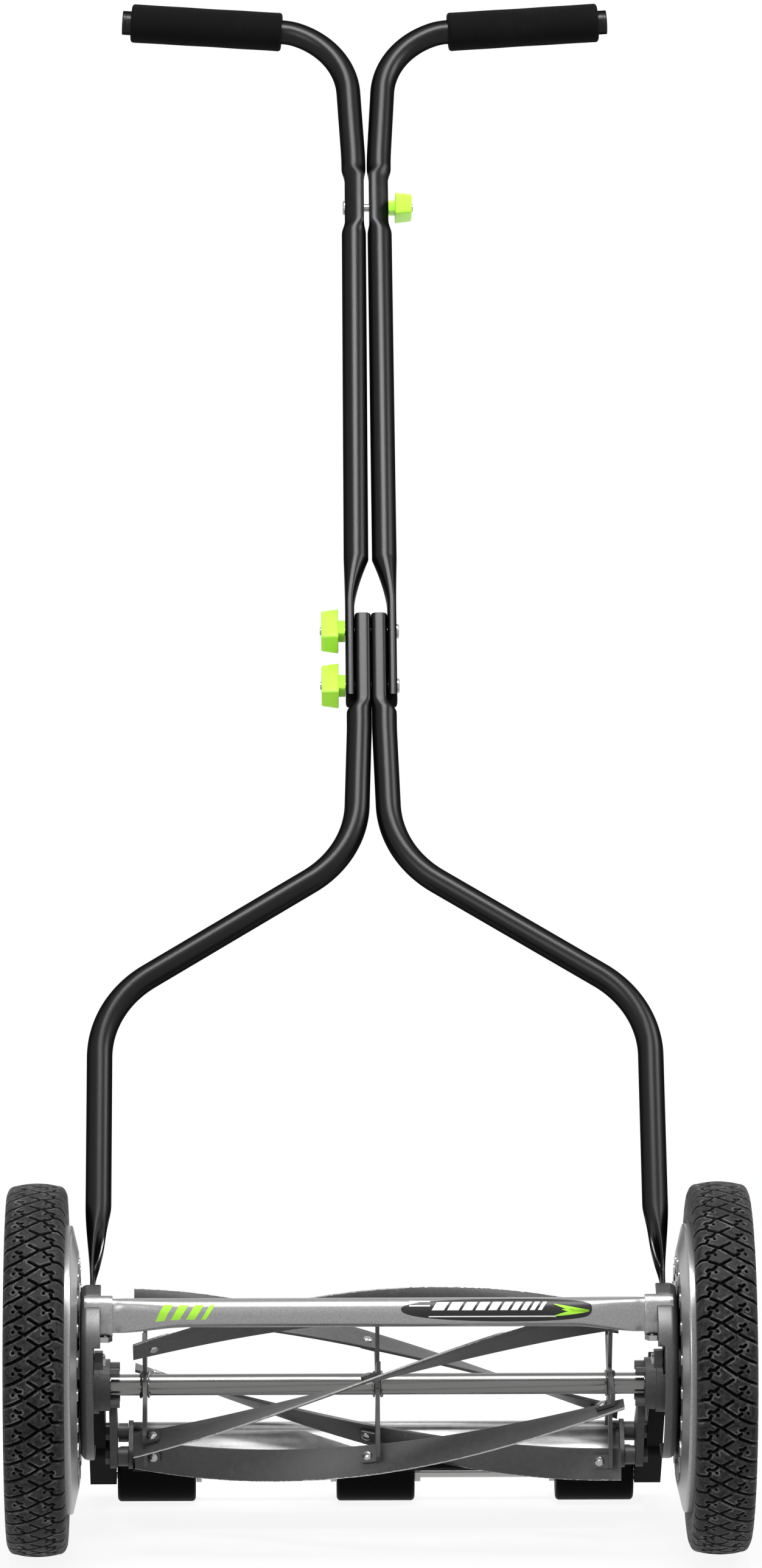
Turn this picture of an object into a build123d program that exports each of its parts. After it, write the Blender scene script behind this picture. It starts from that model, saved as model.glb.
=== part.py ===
from build123d import *
import math
import os

# A push reel mower in millimetres. +X is to the right seen from the front,
# +Y to the rear, +Z up. The origin is on the floor below the wheel axle,
# midway between the wheels. Stations along X are given for the right side;
# the left side is its mirror image.

# Wheels
WHEEL_RADIUS = 135.5
TYRE_WIDTH = 43.5
TYRE_MIDDLE = 247.75
TYRE_SHOULDER = 6.0
TYRE_CROWN = 1.9
TYRE_BULGE_HEIGHT = 12.0
TYRE_SEAT_INSET = 1.75
TYRE_SIDE_LEAN = 0.5
RIM_RADIUS = 105.0
RIM_SHEET = 2.5
RIM_FACE = 217.6
RIM_CONE = 222.0
RIM_FACE_RADIUS = 86.0
RIM_OUTER_EDGE = 268.0
POCKET_RADIUS = 62.0
POCKET_FLOOR = 231.0
HUB_RADIUS = 15.0
HUB_END = 258.0
DIMPLE_COUNT = 20
DIMPLE_CIRCLE = 75.0
DIMPLE_LENGTH = 13.0
DIMPLE_WIDTH = 8.0
DIMPLE_RISE = 0.9
COVER_EDGE = 262.0
COVER_CAP = 267.0
COVER_SHEET = 2.0
COVER_RELIEF = 2.0
COVER_CAP_RADIUS = 16.0
COVER_DISH_FROM = 20.0
COVER_DISH_TO = 46.0
COVER_RING_FROM = 58.0
COVER_RING_TO = 88.0

# Axles
AXLE_RADIUS = 7.0
AXLE_END = 263.0
AXLE_HEAD = 2.9
AXLE_HEX = 10.0
RUNNING_GAP = 0.05
CLIP_GROOVE_DEPTH = 1.2
CLIP_THICKNESS = 1.2

# Gears: an internal ring in each wheel drives a pinion on the reel shaft
GEAR_MODULE = 2.0
RING_TEETH = 54
PINION_TEETH = 14
PRESSURE_ANGLE = math.radians(25)
RING_ADDENDUM = 1.3
PINION_ADDENDUM = 1.7
TIP_GAP = 0.6
BACKLASH = 0.5
RING_START = 218.4
PINION_START = 218.0
PINION_END = 228.0
RATCHET_RADIUS = 8.6
RATCHET_DEPTH = 5.5
RATCHET_NOTCHES = 6
NOTCH_RADIUS = 1.7
PAWL_WIDTH = 2.9
PAWL_LENGTH = 12.0
PAWL_SHIFT = 3.4
PAWL_SPAN = 4.6
PAWL_START = 218.4

# Reel
REEL_DROP = 20.0
SHAFT_RADIUS = 7.8
SHAFT_SHOULDER = 195.0
JOURNAL_RADIUS = 6.0
SHAFT_END = 230.3
BLADE_COUNT = 5
BLADE_OUTER = 71.0
BLADE_INNER = 47.5
BLADE_THICKNESS = 2.5
BLADE_EDGE_THICKNESS = 1.2
BLADE_BEVEL = 2.2
BLADE_HALF_LENGTH = 178.0
BLADE_TWIST = 105.6
BLADE_START_ANGLE = 214.6
SPIDER_STATIONS = {"left": -170.0, "middle": 0.0, "right": 170.0}
SPIDER_THICKNESS = 2.9
SPIDER_HUB = 14.0
SPIDER_ARM_WIDTH = 10.0
SPIDER_ARM_REACH = 62.0
TAB_REACH = 10.5
TAB_THICKNESS = 2.5
TAB_WIDTH = 10.0
TAB_CORNER = 2.5
TAB_GAP = 0.7
RIVET_CIRCLE = 57.0
RIVET_RADIUS = 2.5
RIVET_HEAD_RADIUS = 3.8
RIVET_HEAD_HEIGHT = 1.8
RIVET_TAIL_RADIUS = 3.0
RIVET_TAIL_HEIGHT = 1.2
RIVET_SEAT_GAP = 0.15

# Side plates
PLATE_OUTER = 216.0
PLATE_SHEET = 3.0
PLATE_RADIUS = 65.5
PLATE_CORNER = 5.5
FLANGE_EDGE = 206.0
TOP_FLANGE_EDGE = 201.0
FLANGE_FROM = 96.0
FLANGE_TO = 285.0
TOP_FLANGE_TO = 152.0
PIVOT_FORWARD = 16.0
PIVOT_RISE = 11.0
PIVOT_BOSS_RADIUS = 8.0
PIVOT_BOSS_END = 209.9
EAR_ROOT_PLACE = (36.0, -8.0)
EAR_ROOT_RADIUS = 20.0
EAR_RADIUS = 13.0

# Cross tube and its sockets
CROSS_FORWARD = 27.0
CROSS_RISE = 48.8
CROSS_RADIUS = 10.5
CROSS_WALL = 1.6
CROSS_ROUND_END = 142.0
CROSS_FLAT_START = 190.0
CROSS_END = 206.0
CROSS_FLAT_HEIGHT = 12.6
CROSS_FLAT_DEPTH = 7.6
CROSS_END_DROP = 2.0
SOCKET_START = 192.5
SOCKET_WALL = 2.2
SOCKET_BOLT_X = 198.5

# Reel bearings
HOUSING_FACE = 195.5
HOUSING_STEP = 203.5
HOUSING_BODY = 19.0
HOUSING_FLANGE = 21.0
BUSH_RADIUS = 10.0
HOUSING_BOLT_CIRCLE = 15.0
HOUSING_BOLT_ANGLES = (50, 130, 230, 310)
ARM_START = 191.0
ARM_END = 196.5
HOUSING_BOLT_RADIUS = 2.2
BOLT_HEAD_RADIUS = 3.4
BOLT_HEAD_GAP = 0.6
BOLT_HEAD_HEIGHT = 7.0
ARM_ROOT_CIRCLE = 24.0
ARM_ROOT_ANGLE = -62.0
ARM_ROOT_RADIUS = 9.0
ARM_BOSS_RADIUS = 8.5

# Cutter bar and bed knife, placed by angles below the reel's rear horizontal
CUTTER_INNER = 75.5
CUTTER_SHEET = 3.5
CUTTER_TOP_ANGLE = -38.0
CUTTER_FOOT_ANGLE = -61.5
CUTTER_HALF_LENGTH = 179.5
CUTTER_BEAD = 4.0
CUTTER_EAR = 3.5
CUTTER_EAR_RADIUS = 9.0
THUMB_RADIUS = 7.0
CUTTER_SIDE_GAP = 0.3
CUTTER_PIVOT_ANGLE = -41.0
CUTTER_SETTER_ANGLE = -57.0
CUTTER_SCREW_CIRCLE = 77.5
CUTTER_SCREW_RADIUS = 3.5
SETTER_SLOT = 1.2
CUTTER_NUT = 3.6
KNIFE_RIVET_EDGE = 5.5
KNIFE_ANGLE = 16.0
KNIFE_GAP = 0.35
KNIFE_THICKNESS = 3.0
KNIFE_DEPTH = 38.0
KNIFE_RIVETS = 5
KNIFE_RIVET_PITCH = 80.0

# Rear rollers
ROLLER_RADIUS = 20.5
ROLLER_BACK = 142.0
ROLLER_LENGTH = 58.0
ROLLER_ROUNDING = 3.0
ROLLER_STATIONS = {"left": -163.0, "middle": 0.0, "right": 163.0}
ROD_RADIUS = 3.5
ROLLER_BORE_GAP = 0.08
COLLAR_RADIUS = 6.5
COLLAR_WIDTH = 4.0
COLLAR_GAP = 0.4
BRACKET_START = 193.0
BRACKET_PLATE_START = 200.5
BRACKET_END = 212.5
BRACKET_STUD_RADIUS = 18.0
BRACKET_ROD_RADIUS = 9.0
BRACKET_FLAT = 6.5
KNUCKLE_PLACE = (-24.0, 31.0)
KNUCKLE_RADIUS = 14.0
STUD_PLACES = ((75.0, -25.0), (93.0, -46.0))
STUD_RADIUS = 4.0
HEIGHT_TRAVEL = 10.0
SLOT_GAP = 0.3

# Handle, drawn upright: X across, Y front to back, Z along the tubes from the pivot
HANDLE_LEAN = 50.0
TUBE_RADIUS = 9.5
TUBE_WALL = 1.5
FORK_HALF_WIDTH = 204.0
FORK_KNEE = 292.8
STEM_KNEE = 421.4
STEM_KNEE_HALF_WIDTH = 13.1
KNEE_RADIUS = 82.0
LUG_INNER = 206.3
LUG_OUTER = 209.6
LUG_WIDTH = 23.0
LUG_TOP = 74.0
LUG_LAP = 6.0
FORK_ROUND_START = 135.0
LOWER_ROUND_END = 541.0
LOWER_HALF_WIDTH = 9.65
STRAIGHT_END = 16.0
LOWER_FLAT_START = 556.0
LOWER_TOP = 628.0
JOINT_INNER = 0.2
JOINT_PLANE = 12.5
JOINT_FACE = 19.6
JOINT_TRIM = 0.3
UPPER_BOTTOM = 555.0
UPPER_FLAT_END = 640.0
UPPER_ROUND_START = 680.0
UPPER_HALF_WIDTH = 10.85
FLAT_DEPTH = 11.6
DIMPLE_FROM = 977.0
DIMPLE_TO = 1046.0
DIMPLE_SLOPE = 12.0
DIMPLE_CUT = 2.5
DIMPLE_INNER_CUT = 1.3
DIMPLE_LEAD = 0.6
STEM_HALF_WIDTH = 9.92
SPREAD_START = 1049.0
SPREAD_ANGLE = 3.1
SPREAD_RADIUS = 300.0
SPLAY_START = 1153.5
SPLAY_ANGLE = 68.0
SPLAY_RADIUS = 64.0
GRIP_BEND = 40.0
GRIP_INNER_X = 66.0
GRIP_INNER_RISE = 1171.6
GRIP_ANGLE = 4.24
GRIP_LENGTH = 119.5
GRIP_RADIUS = 15.3
GRIP_ROUNDING = 2.5
TUBE_STUB = 4.0
CAP_HEAD = 3.0
CAP_PLUG = 14.0
JOINT_BOLT_RISES = (568.0, 616.3)
TOP_BOLT_RISE = 1003.8
KNOB_STEM_RADIUS = 9.2
KNOB_STEM = 5.2
KNOB_SEAT_GAP = 0.2
KNOB_BODY = 12.9
KNOB_LENGTH = 36.4
KNOB_WIDTH = 17.6
KNOB_CORNER = 2.0
KNOB_TAPER = 6.0
JOINT_KNOB_TURNS = (67.0, 66.0)
TOP_KNOB_TURN = 21.5
BOLT_TIP = 1.2

# Fasteners
M6_RADIUS = 3.0
M6_HEX = 5.8
M8_HEX = 7.5
M6_HEAD = 4.0
M8_NUT = 6.2
M8_HEAD = 4.5
DOME_RADIUS = 5.6
DOME_HEIGHT = 1.8
DOME_ROUNDING = 1.3

# Derived places, as (y, z) points on axes that run along X
AXLE = (0.0, WHEEL_RADIUS)
GEAR_CENTRES = GEAR_MODULE * (RING_TEETH - PINION_TEETH) / 2
MESH_ANGLE = -math.asin(REEL_DROP / GEAR_CENTRES)
REEL = (GEAR_CENTRES * math.cos(MESH_ANGLE), WHEEL_RADIUS - REEL_DROP)
CROSS = (-CROSS_FORWARD, WHEEL_RADIUS + CROSS_RISE)
CROSS_TIP = (CROSS[0], CROSS[1] - CROSS_END_DROP)
PIVOT = (-PIVOT_FORWARD, WHEEL_RADIUS + PIVOT_RISE)
ROLLER = (ROLLER_BACK, ROLLER_RADIUS)
PLATE_INNER = PLATE_OUTER - PLATE_SHEET
STUDS = [(AXLE[0] + back, AXLE[1] + rise) for back, rise in STUD_PLACES]
CUTTER_OUTER = CUTTER_INNER + CUTTER_SHEET
TOP_FACE = STEM_HALF_WIDTH + TUBE_RADIUS - DIMPLE_CUT


def around(centre, radius, degrees):
    """Point at a radius and angle about an axis; zero is to the rear, ninety is up."""
    turn = math.radians(degrees)
    return (centre[0] + radius * math.cos(turn), centre[1] + radius * math.sin(turn))


def bar_x(start, end, radius, centre):
    """Round bar along X."""
    return Pos((start + end) / 2, *centre) * Rot(Y=90) * Cylinder(radius, end - start)


def sleeve_x(start, end, outer, inner, centre):
    """Tube along X."""
    return bar_x(start, end, outer, centre) - bar_x(start - 1, end + 1, inner, centre)


def plate_x(sketch, start, end):
    """Plate cut to a sketch drawn in (y, z), between two stations along X."""
    return extrude(Plane.YZ.offset(start) * sketch, amount=end - start)


def disc_at(place, radius):
    """Circle sketched at a (y, z) place."""
    return Pos(*place) * Circle(radius)


def hull_of(discs):
    """Outline stretched round several circles, each (place, radius)."""
    edges = [edge for place, radius in discs for edge in disc_at(place, radius).edges()]
    return make_hull(edges)


def turned(corners, centre, from_angle=0.0, sweep=360.0):
    """Solid turned about an axis along X from (x, radius, rounding) corners."""
    points = [(x, radius) for x, radius, rounding in corners]
    roundings = [rounding for x, radius, rounding in corners]
    profile = make_face(FilletPolyline(*points, radius=roundings, close=True))
    return Pos(0, *centre) * Rot(X=from_angle) * revolve(profile, Axis.X, sweep)


def hex_x(start, end, corner_radius, centre, bore=0.0):
    """Hexagonal head or nut along X, with a bore for a nut."""
    outline = Pos(*centre) * RegularPolygon(corner_radius, 6)
    if bore:
        outline -= disc_at(centre, bore)
    return plate_x(outline, start, end)


def left_of(shape):
    """The left-hand twin of a right-hand piece."""
    return mirror(shape, about=Plane.YZ)


def pair(shape):
    """A right-hand piece and its left-hand twin as one group of solids."""
    return group([shape, left_of(shape)])


def group(shapes):
    """Separate solids that share one node."""
    return Compound([solid for shape in shapes for solid in shape.solids()])


# Gears
def involute(angle):
    """Involute function of a pressure angle."""
    return math.tan(angle) - angle


def gear_outline(teeth, root, tip, half_width, centre):
    """Toothed outline with a tooth on the mesh line; flanks are involutes."""
    pitch = GEAR_MODULE * teeth / 2
    base = pitch * math.cos(PRESSURE_ANGLE)
    radii = [root, (max(root, base) + pitch) / 2, pitch, (pitch + tip) / 2, tip]
    points = []
    for tooth in range(teeth):
        middle = MESH_ANGLE + 2 * math.pi * tooth / teeth
        flank = []
        for radius in radii:
            pressure = math.acos(min(1.0, base / radius))
            half = half_width / pitch + involute(PRESSURE_ANGLE) - involute(pressure)
            flank.append((radius, half))
        points += [(radius, middle - half) for radius, half in flank]
        points += [(radius, middle + half) for radius, half in reversed(flank)]
    corners = [around(centre, radius, math.degrees(turn)) for radius, turn in points]
    return make_face(Polyline(*corners, close=True))


def ring_gear():
    """Internal gear ring that fills the wheel's pocket."""
    pitch = GEAR_MODULE * RING_TEETH / 2
    half_space = GEAR_MODULE * math.pi / 4 + BACKLASH / 2
    root = pitch + PINION_ADDENDUM + TIP_GAP
    spaces = gear_outline(RING_TEETH, pitch - RING_ADDENDUM, root, half_space, AXLE)
    return plate_x(disc_at(AXLE, POCKET_RADIUS) - spaces, RING_START, POCKET_FLOOR)


def pinion():
    """Pinion with a ratchet pocket on its inner side."""
    pitch = GEAR_MODULE * PINION_TEETH / 2
    half_tooth = GEAR_MODULE * math.pi / 4 - BACKLASH / 2
    root = pitch - RING_ADDENDUM - TIP_GAP
    outline = gear_outline(PINION_TEETH, root, pitch + PINION_ADDENDUM, half_tooth, REEL)
    ratchet = disc_at(REEL, RATCHET_RADIUS)
    for notch in range(RATCHET_NOTCHES):
        place = around(REEL, RATCHET_RADIUS, 360 * notch / RATCHET_NOTCHES)
        ratchet += disc_at(place, NOTCH_RADIUS)
    bore = bar_x(PINION_START - 1, PINION_END + 1, JOURNAL_RADIUS + RUNNING_GAP, REEL)
    pocket = plate_x(ratchet, PINION_START - 1, PINION_START + RATCHET_DEPTH)
    return plate_x(outline, PINION_START, PINION_END) - bore - pocket


def pawl(shift):
    """Sliding key in the shaft's cross slot, pushed out by a shift."""
    middle = PAWL_START + PAWL_SPAN / 2
    return Pos(middle, REEL[0] + shift, REEL[1]) * Box(PAWL_SPAN, PAWL_LENGTH, PAWL_WIDTH)


# Reel
def reel_shaft():
    """Shaft with turned-down journals, a pawl slot and a clip groove at each end."""
    shaft = bar_x(-SHAFT_SHOULDER, SHAFT_SHOULDER, SHAFT_RADIUS, REEL)
    slot_height = PAWL_WIDTH + 2 * RUNNING_GAP
    slot_length = PAWL_SPAN + 2 * RUNNING_GAP
    slot = Pos(PAWL_START + PAWL_SPAN / 2, *REEL) * Box(slot_length, 4 * JOURNAL_RADIUS, slot_height)
    journal = bar_x(SHAFT_SHOULDER, SHAFT_END, JOURNAL_RADIUS, REEL) - slot - pinion_clip()
    return shaft + journal + left_of(journal)


def pinion_clip():
    """Ring in the shaft's groove that keeps the pinion on."""
    start = PINION_END + 0.3
    return sleeve_x(start, start + CLIP_THICKNESS, SHAFT_RADIUS + 1, JOURNAL_RADIUS - CLIP_GROOVE_DEPTH, REEL)


def blade_angle(blade, x):
    """Angle of a blade about the reel axis at a station along X."""
    turned_by = BLADE_TWIST * (x + BLADE_HALF_LENGTH) / (2 * BLADE_HALF_LENGTH)
    return BLADE_START_ANGLE + 360 * blade / BLADE_COUNT - turned_by


def inward(station):
    """Direction along X in which a spider's tabs point: inward at the ends, left in the middle."""
    return 1 if station < 0 else -1


def rivet_frame(blade, station):
    """Plane on a blade beside a spider: Z square to the blade, X along its helix."""
    x = station + inward(station) * (SPIDER_THICKNESS + TAB_REACH) / 2
    turn = math.radians(blade_angle(blade, x))
    slope = -RIVET_CIRCLE * math.radians(BLADE_TWIST) / (2 * BLADE_HALF_LENGTH)
    across = Vector(0, -math.sin(turn), math.cos(turn))
    place = around(REEL, RIVET_CIRCLE, math.degrees(turn))
    return Plane(
        origin=(x, *place),
        x_dir=Vector(1, 0, 0) + across * slope,
        z_dir=across - Vector(1, 0, 0) * slope,
    )


def blade(number):
    """Helical strip with a bevelled outer edge and a rivet hole at each spider."""
    half = BLADE_THICKNESS / 2
    corners = [
        (BLADE_INNER, -half),
        (BLADE_OUTER, -half),
        (BLADE_OUTER, BLADE_EDGE_THICKNESS - half),
        (BLADE_OUTER - BLADE_BEVEL, half),
        (BLADE_INNER, half),
    ]
    start = Plane.YZ.offset(-BLADE_HALF_LENGTH) * Pos(*REEL) * Rot(Z=blade_angle(number, -BLADE_HALF_LENGTH))
    section = start * make_face(Polyline(*corners, close=True))
    strip = Solid.extrude_linear_with_rotation(
        section.face(), (-BLADE_HALF_LENGTH, *REEL), (2 * BLADE_HALF_LENGTH, 0, 0), -BLADE_TWIST
    )
    holes = [
        rivet_frame(number, station) * Cylinder(RIVET_RADIUS, 8 * BLADE_THICKNESS)
        for station in SPIDER_STATIONS.values()
    ]
    return Part(strip.wrapped) - holes


def spider(station):
    """Pressed five-armed plate with a tab behind each blade."""
    plate = sleeve_x(
        station - SPIDER_THICKNESS / 2, station + SPIDER_THICKNESS / 2, SPIDER_HUB, SHAFT_RADIUS, REEL
    )
    middle_length = (SHAFT_RADIUS + 1 + SPIDER_ARM_REACH) / 2
    arm_length = SPIDER_ARM_REACH - SHAFT_RADIUS - 1
    behind = BLADE_THICKNESS / 2 + TAB_GAP
    for number in range(BLADE_COUNT):
        frame = Plane.YZ.offset(station) * Pos(*REEL) * Rot(Z=blade_angle(number, station))
        arm = Pos(middle_length, -behind - SPIDER_ARM_WIDTH / 2) * Box(
            arm_length, SPIDER_ARM_WIDTH, SPIDER_THICKNESS
        )
        seat = Pos(-inward(station) * SPIDER_THICKNESS / 2, 0, -behind - TAB_THICKNESS)
        outline = RectangleRounded(TAB_REACH + SPIDER_THICKNESS, TAB_WIDTH, TAB_CORNER)
        tab = seat * extrude(outline, amount=TAB_THICKNESS)
        plate += frame * arm
        plate += rivet_frame(number, station) * tab
    plate -= bar_x(station - 20, station + 20, SHAFT_RADIUS, REEL)
    return plate - blade_rivets_at(station, whole=False)


def blade_rivets_at(station, whole=True):
    """Rivets of one spider, or only their shanks."""
    behind = BLADE_THICKNESS / 2 + TAB_GAP + TAB_THICKNESS
    front = BLADE_THICKNESS / 2
    rivets = []
    for number in range(BLADE_COUNT):
        frame = rivet_frame(number, station)
        length = behind + front + 2 * RIVET_SEAT_GAP
        rivet = Pos(Z=(front - behind) / 2) * Cylinder(RIVET_RADIUS, length)
        if whole:
            head_middle = front + RIVET_SEAT_GAP + RIVET_HEAD_HEIGHT / 2
            tail_middle = behind + RIVET_SEAT_GAP + RIVET_TAIL_HEIGHT / 2
            rivet += Pos(Z=head_middle) * Cylinder(RIVET_HEAD_RADIUS, RIVET_HEAD_HEIGHT)
            rivet += Pos(Z=-tail_middle) * Cylinder(RIVET_TAIL_RADIUS, RIVET_TAIL_HEIGHT)
        rivets.append(frame * rivet)
    return rivets


# Wheels
def tyre():
    """Solid rubber tyre with a gently crowned tread and rounded shoulders."""
    half = TYRE_WIDTH / 2
    seat = half - TYRE_SEAT_INSET
    shoulder_height = WHEEL_RADIUS - TYRE_CROWN
    side = Polyline(
        (-half + TYRE_SIDE_LEAN, shoulder_height),
        (-half, RIM_RADIUS + TYRE_BULGE_HEIGHT),
        (-seat, RIM_RADIUS),
        (seat, RIM_RADIUS),
        (half, RIM_RADIUS + TYRE_BULGE_HEIGHT),
        (half - TYRE_SIDE_LEAN, shoulder_height),
    )
    crown = ThreePointArc(side @ 0, (0, WHEEL_RADIUS), side @ 1)
    profile = make_face([*side.edges(), crown])
    shoulders = profile.vertices().sort_by(Axis.Y)[-2:]
    profile = fillet(shoulders, TYRE_SHOULDER)
    return Pos(TYRE_MIDDLE, *AXLE) * revolve(profile, Axis.X)


def rim():
    """Pressed wheel: hub, gear pocket, dimpled face, cone and tyre seat in one sheet."""
    sheet = turned(
        [
            (POCKET_FLOOR, AXLE_RADIUS + RUNNING_GAP, 0),
            (POCKET_FLOOR, POCKET_RADIUS, 0),
            (RIM_FACE, POCKET_RADIUS, 1),
            (RIM_FACE, RIM_FACE_RADIUS, 4),
            (RIM_CONE, RIM_RADIUS, 2),
            (RIM_OUTER_EDGE, RIM_RADIUS, 1),
            (RIM_OUTER_EDGE, RIM_RADIUS - RIM_SHEET, 1),
            (RIM_CONE + RIM_SHEET, RIM_RADIUS - RIM_SHEET, 1),
            (RIM_FACE + RIM_SHEET, RIM_FACE_RADIUS, 2),
            (RIM_FACE + RIM_SHEET, POCKET_RADIUS + RIM_SHEET, 1),
            (POCKET_FLOOR + RIM_SHEET, POCKET_RADIUS + RIM_SHEET, 2),
            (POCKET_FLOOR + RIM_SHEET, HUB_RADIUS, 1),
            (HUB_END, HUB_RADIUS, 1),
            (HUB_END, AXLE_RADIUS + RUNNING_GAP, 0),
        ],
        AXLE,
    )
    dimple = Pos(DIMPLE_CIRCLE, 0) * SlotOverall(DIMPLE_LENGTH, DIMPLE_WIDTH)
    for number in range(DIMPLE_COUNT):
        outline = Pos(*AXLE) * Rot(Z=360 * number / DIMPLE_COUNT) * dimple
        sheet += plate_x(outline, RIM_FACE - DIMPLE_RISE, RIM_FACE + 1)
    return sheet


def wheel_cover():
    """Dished outer disc with a raised cap over the axle's end."""
    inner_radius = RIM_RADIUS - RIM_SHEET
    outside = [
        (COVER_CAP, 0, 0),
        (COVER_CAP, COVER_CAP_RADIUS, 3),
        (COVER_EDGE - COVER_RELIEF, COVER_DISH_FROM, 2),
        (COVER_EDGE - COVER_RELIEF, COVER_DISH_TO, 6),
        (COVER_EDGE + COVER_RELIEF, COVER_RING_FROM, 6),
        (COVER_EDGE + COVER_RELIEF, COVER_RING_TO, 4),
        (COVER_EDGE, inner_radius, 0),
    ]
    inside = [(x - COVER_SHEET, radius, rounding / 2) for x, radius, rounding in reversed(outside)]
    return turned(outside + inside, AXLE)


def axle_clip():
    """Ring in the axle's groove."""
    start = HUB_END + 2.6
    return sleeve_x(start, start + CLIP_THICKNESS, AXLE_RADIUS + 3.5, AXLE_RADIUS - CLIP_GROOVE_DEPTH, AXLE)


def axle_washer():
    """Washer between the hub and its clip."""
    return sleeve_x(HUB_END + 0.4, HUB_END + 2.4, AXLE_RADIUS + 5, AXLE_RADIUS, AXLE)


def wheel_axle():
    """Stub axle with a hexagonal head inside the side plate."""
    head = hex_x(PLATE_INNER - AXLE_HEAD, PLATE_INNER, AXLE_HEX, AXLE)
    return head + bar_x(PLATE_INNER, AXLE_END, AXLE_RADIUS, AXLE) - axle_clip()


# Frame
def side_plate():
    """Pressed dish with an inward flange, open at the rear, and an ear for the roller bracket."""
    web = plate_x(disc_at(AXLE, PLATE_RADIUS - PLATE_CORNER), PLATE_INNER, PLATE_OUTER)
    inner = PLATE_RADIUS - PLATE_SHEET
    flange = turned(
        [
            (PLATE_OUTER, PLATE_RADIUS - 2 * PLATE_CORNER, 0),
            (PLATE_OUTER, PLATE_RADIUS, PLATE_CORNER),
            (FLANGE_EDGE, PLATE_RADIUS, 1),
            (FLANGE_EDGE, inner, 1),
            (PLATE_INNER, inner, PLATE_CORNER - PLATE_SHEET),
            (PLATE_INNER, PLATE_RADIUS - 2 * PLATE_CORNER, 0),
        ],
        AXLE,
        FLANGE_FROM,
        FLANGE_TO - FLANGE_FROM,
    )
    top_flange = turned(
        [
            (FLANGE_EDGE + 2, PLATE_RADIUS, 0),
            (TOP_FLANGE_EDGE, PLATE_RADIUS, 1),
            (TOP_FLANGE_EDGE, inner, 1),
            (FLANGE_EDGE + 2, inner, 0),
        ],
        AXLE,
        FLANGE_FROM,
        TOP_FLANGE_TO - FLANGE_FROM,
    )
    ear_root = (AXLE[0] + EAR_ROOT_PLACE[0], AXLE[1] + EAR_ROOT_PLACE[1])
    ear = hull_of([(ear_root, EAR_ROOT_RADIUS), *[(stud, EAR_RADIUS) for stud in STUDS]])
    plate = web + flange + top_flange + plate_x(ear, PLATE_INNER, PLATE_OUTER)
    plate += bar_x(PIVOT_BOSS_END, PLATE_INNER, PIVOT_BOSS_RADIUS, PIVOT)
    through = PLATE_INNER - 10
    plate -= bar_x(through, PLATE_OUTER + 1, AXLE_RADIUS, AXLE)
    plate -= bar_x(through, PLATE_OUTER + 1, STUD_RADIUS, PIVOT)
    plate -= bar_x(through, PLATE_OUTER + 1, BUSH_RADIUS, REEL)
    for angle in HOUSING_BOLT_ANGLES:
        place = around(REEL, HOUSING_BOLT_CIRCLE, angle)
        plate -= bar_x(through, PLATE_OUTER + 1, HOUSING_BOLT_RADIUS, place)
    return plate - plate_x(socket_outline(), through - 10, PLATE_INNER)


def socket_outline():
    """Outer oval of the cross tube's socket."""
    return Pos(*CROSS_TIP) * Ellipse(CROSS_FLAT_DEPTH + SOCKET_WALL, CROSS_FLAT_HEIGHT + SOCKET_WALL)


def flat_end_outline():
    """Oval of the cross tube's flattened end."""
    return Pos(*CROSS_TIP) * Ellipse(CROSS_FLAT_DEPTH, CROSS_FLAT_HEIGHT)


def tube_socket():
    """Oval cup on the side plate that takes the end of the cross tube."""
    cup = plate_x(socket_outline(), SOCKET_START, PLATE_INNER)
    cup -= plate_x(flat_end_outline(), SOCKET_START - 1, CROSS_END)
    return cup - socket_bolt_shank()


def socket_bolt_shank():
    """Upright shank through the socket and the tube's end."""
    top = CROSS_TIP[1] + CROSS_FLAT_HEIGHT
    bottom = CROSS_TIP[1] - CROSS_FLAT_HEIGHT - SOCKET_WALL
    return Pos(SOCKET_BOLT_X, CROSS_TIP[0], (top + bottom) / 2) * Cylinder(M6_RADIUS, top - bottom)


def socket_bolt():
    """Bolt with its hexagonal head under the socket."""
    bottom = CROSS_TIP[1] - CROSS_FLAT_HEIGHT - SOCKET_WALL
    head = extrude(RegularPolygon(M6_HEX, 6), amount=-M6_HEAD)
    return socket_bolt_shank() + Pos(SOCKET_BOLT_X, CROSS_TIP[0], bottom) * head


def cross_tube():
    """Round tube whose ends are squeezed to an upright oval."""
    round_end = Plane.YZ.offset(CROSS_ROUND_END) * disc_at(CROSS, CROSS_RADIUS)
    flat_start = Plane.YZ.offset(CROSS_FLAT_START) * flat_end_outline()
    end = loft([round_end, flat_start]) + plate_x(flat_end_outline(), CROSS_FLAT_START, CROSS_END)
    end -= socket_bolt_shank()
    middle = sleeve_x(-CROSS_ROUND_END, CROSS_ROUND_END, CROSS_RADIUS, CROSS_RADIUS - CROSS_WALL, CROSS)
    return middle + end + left_of(end)


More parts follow.
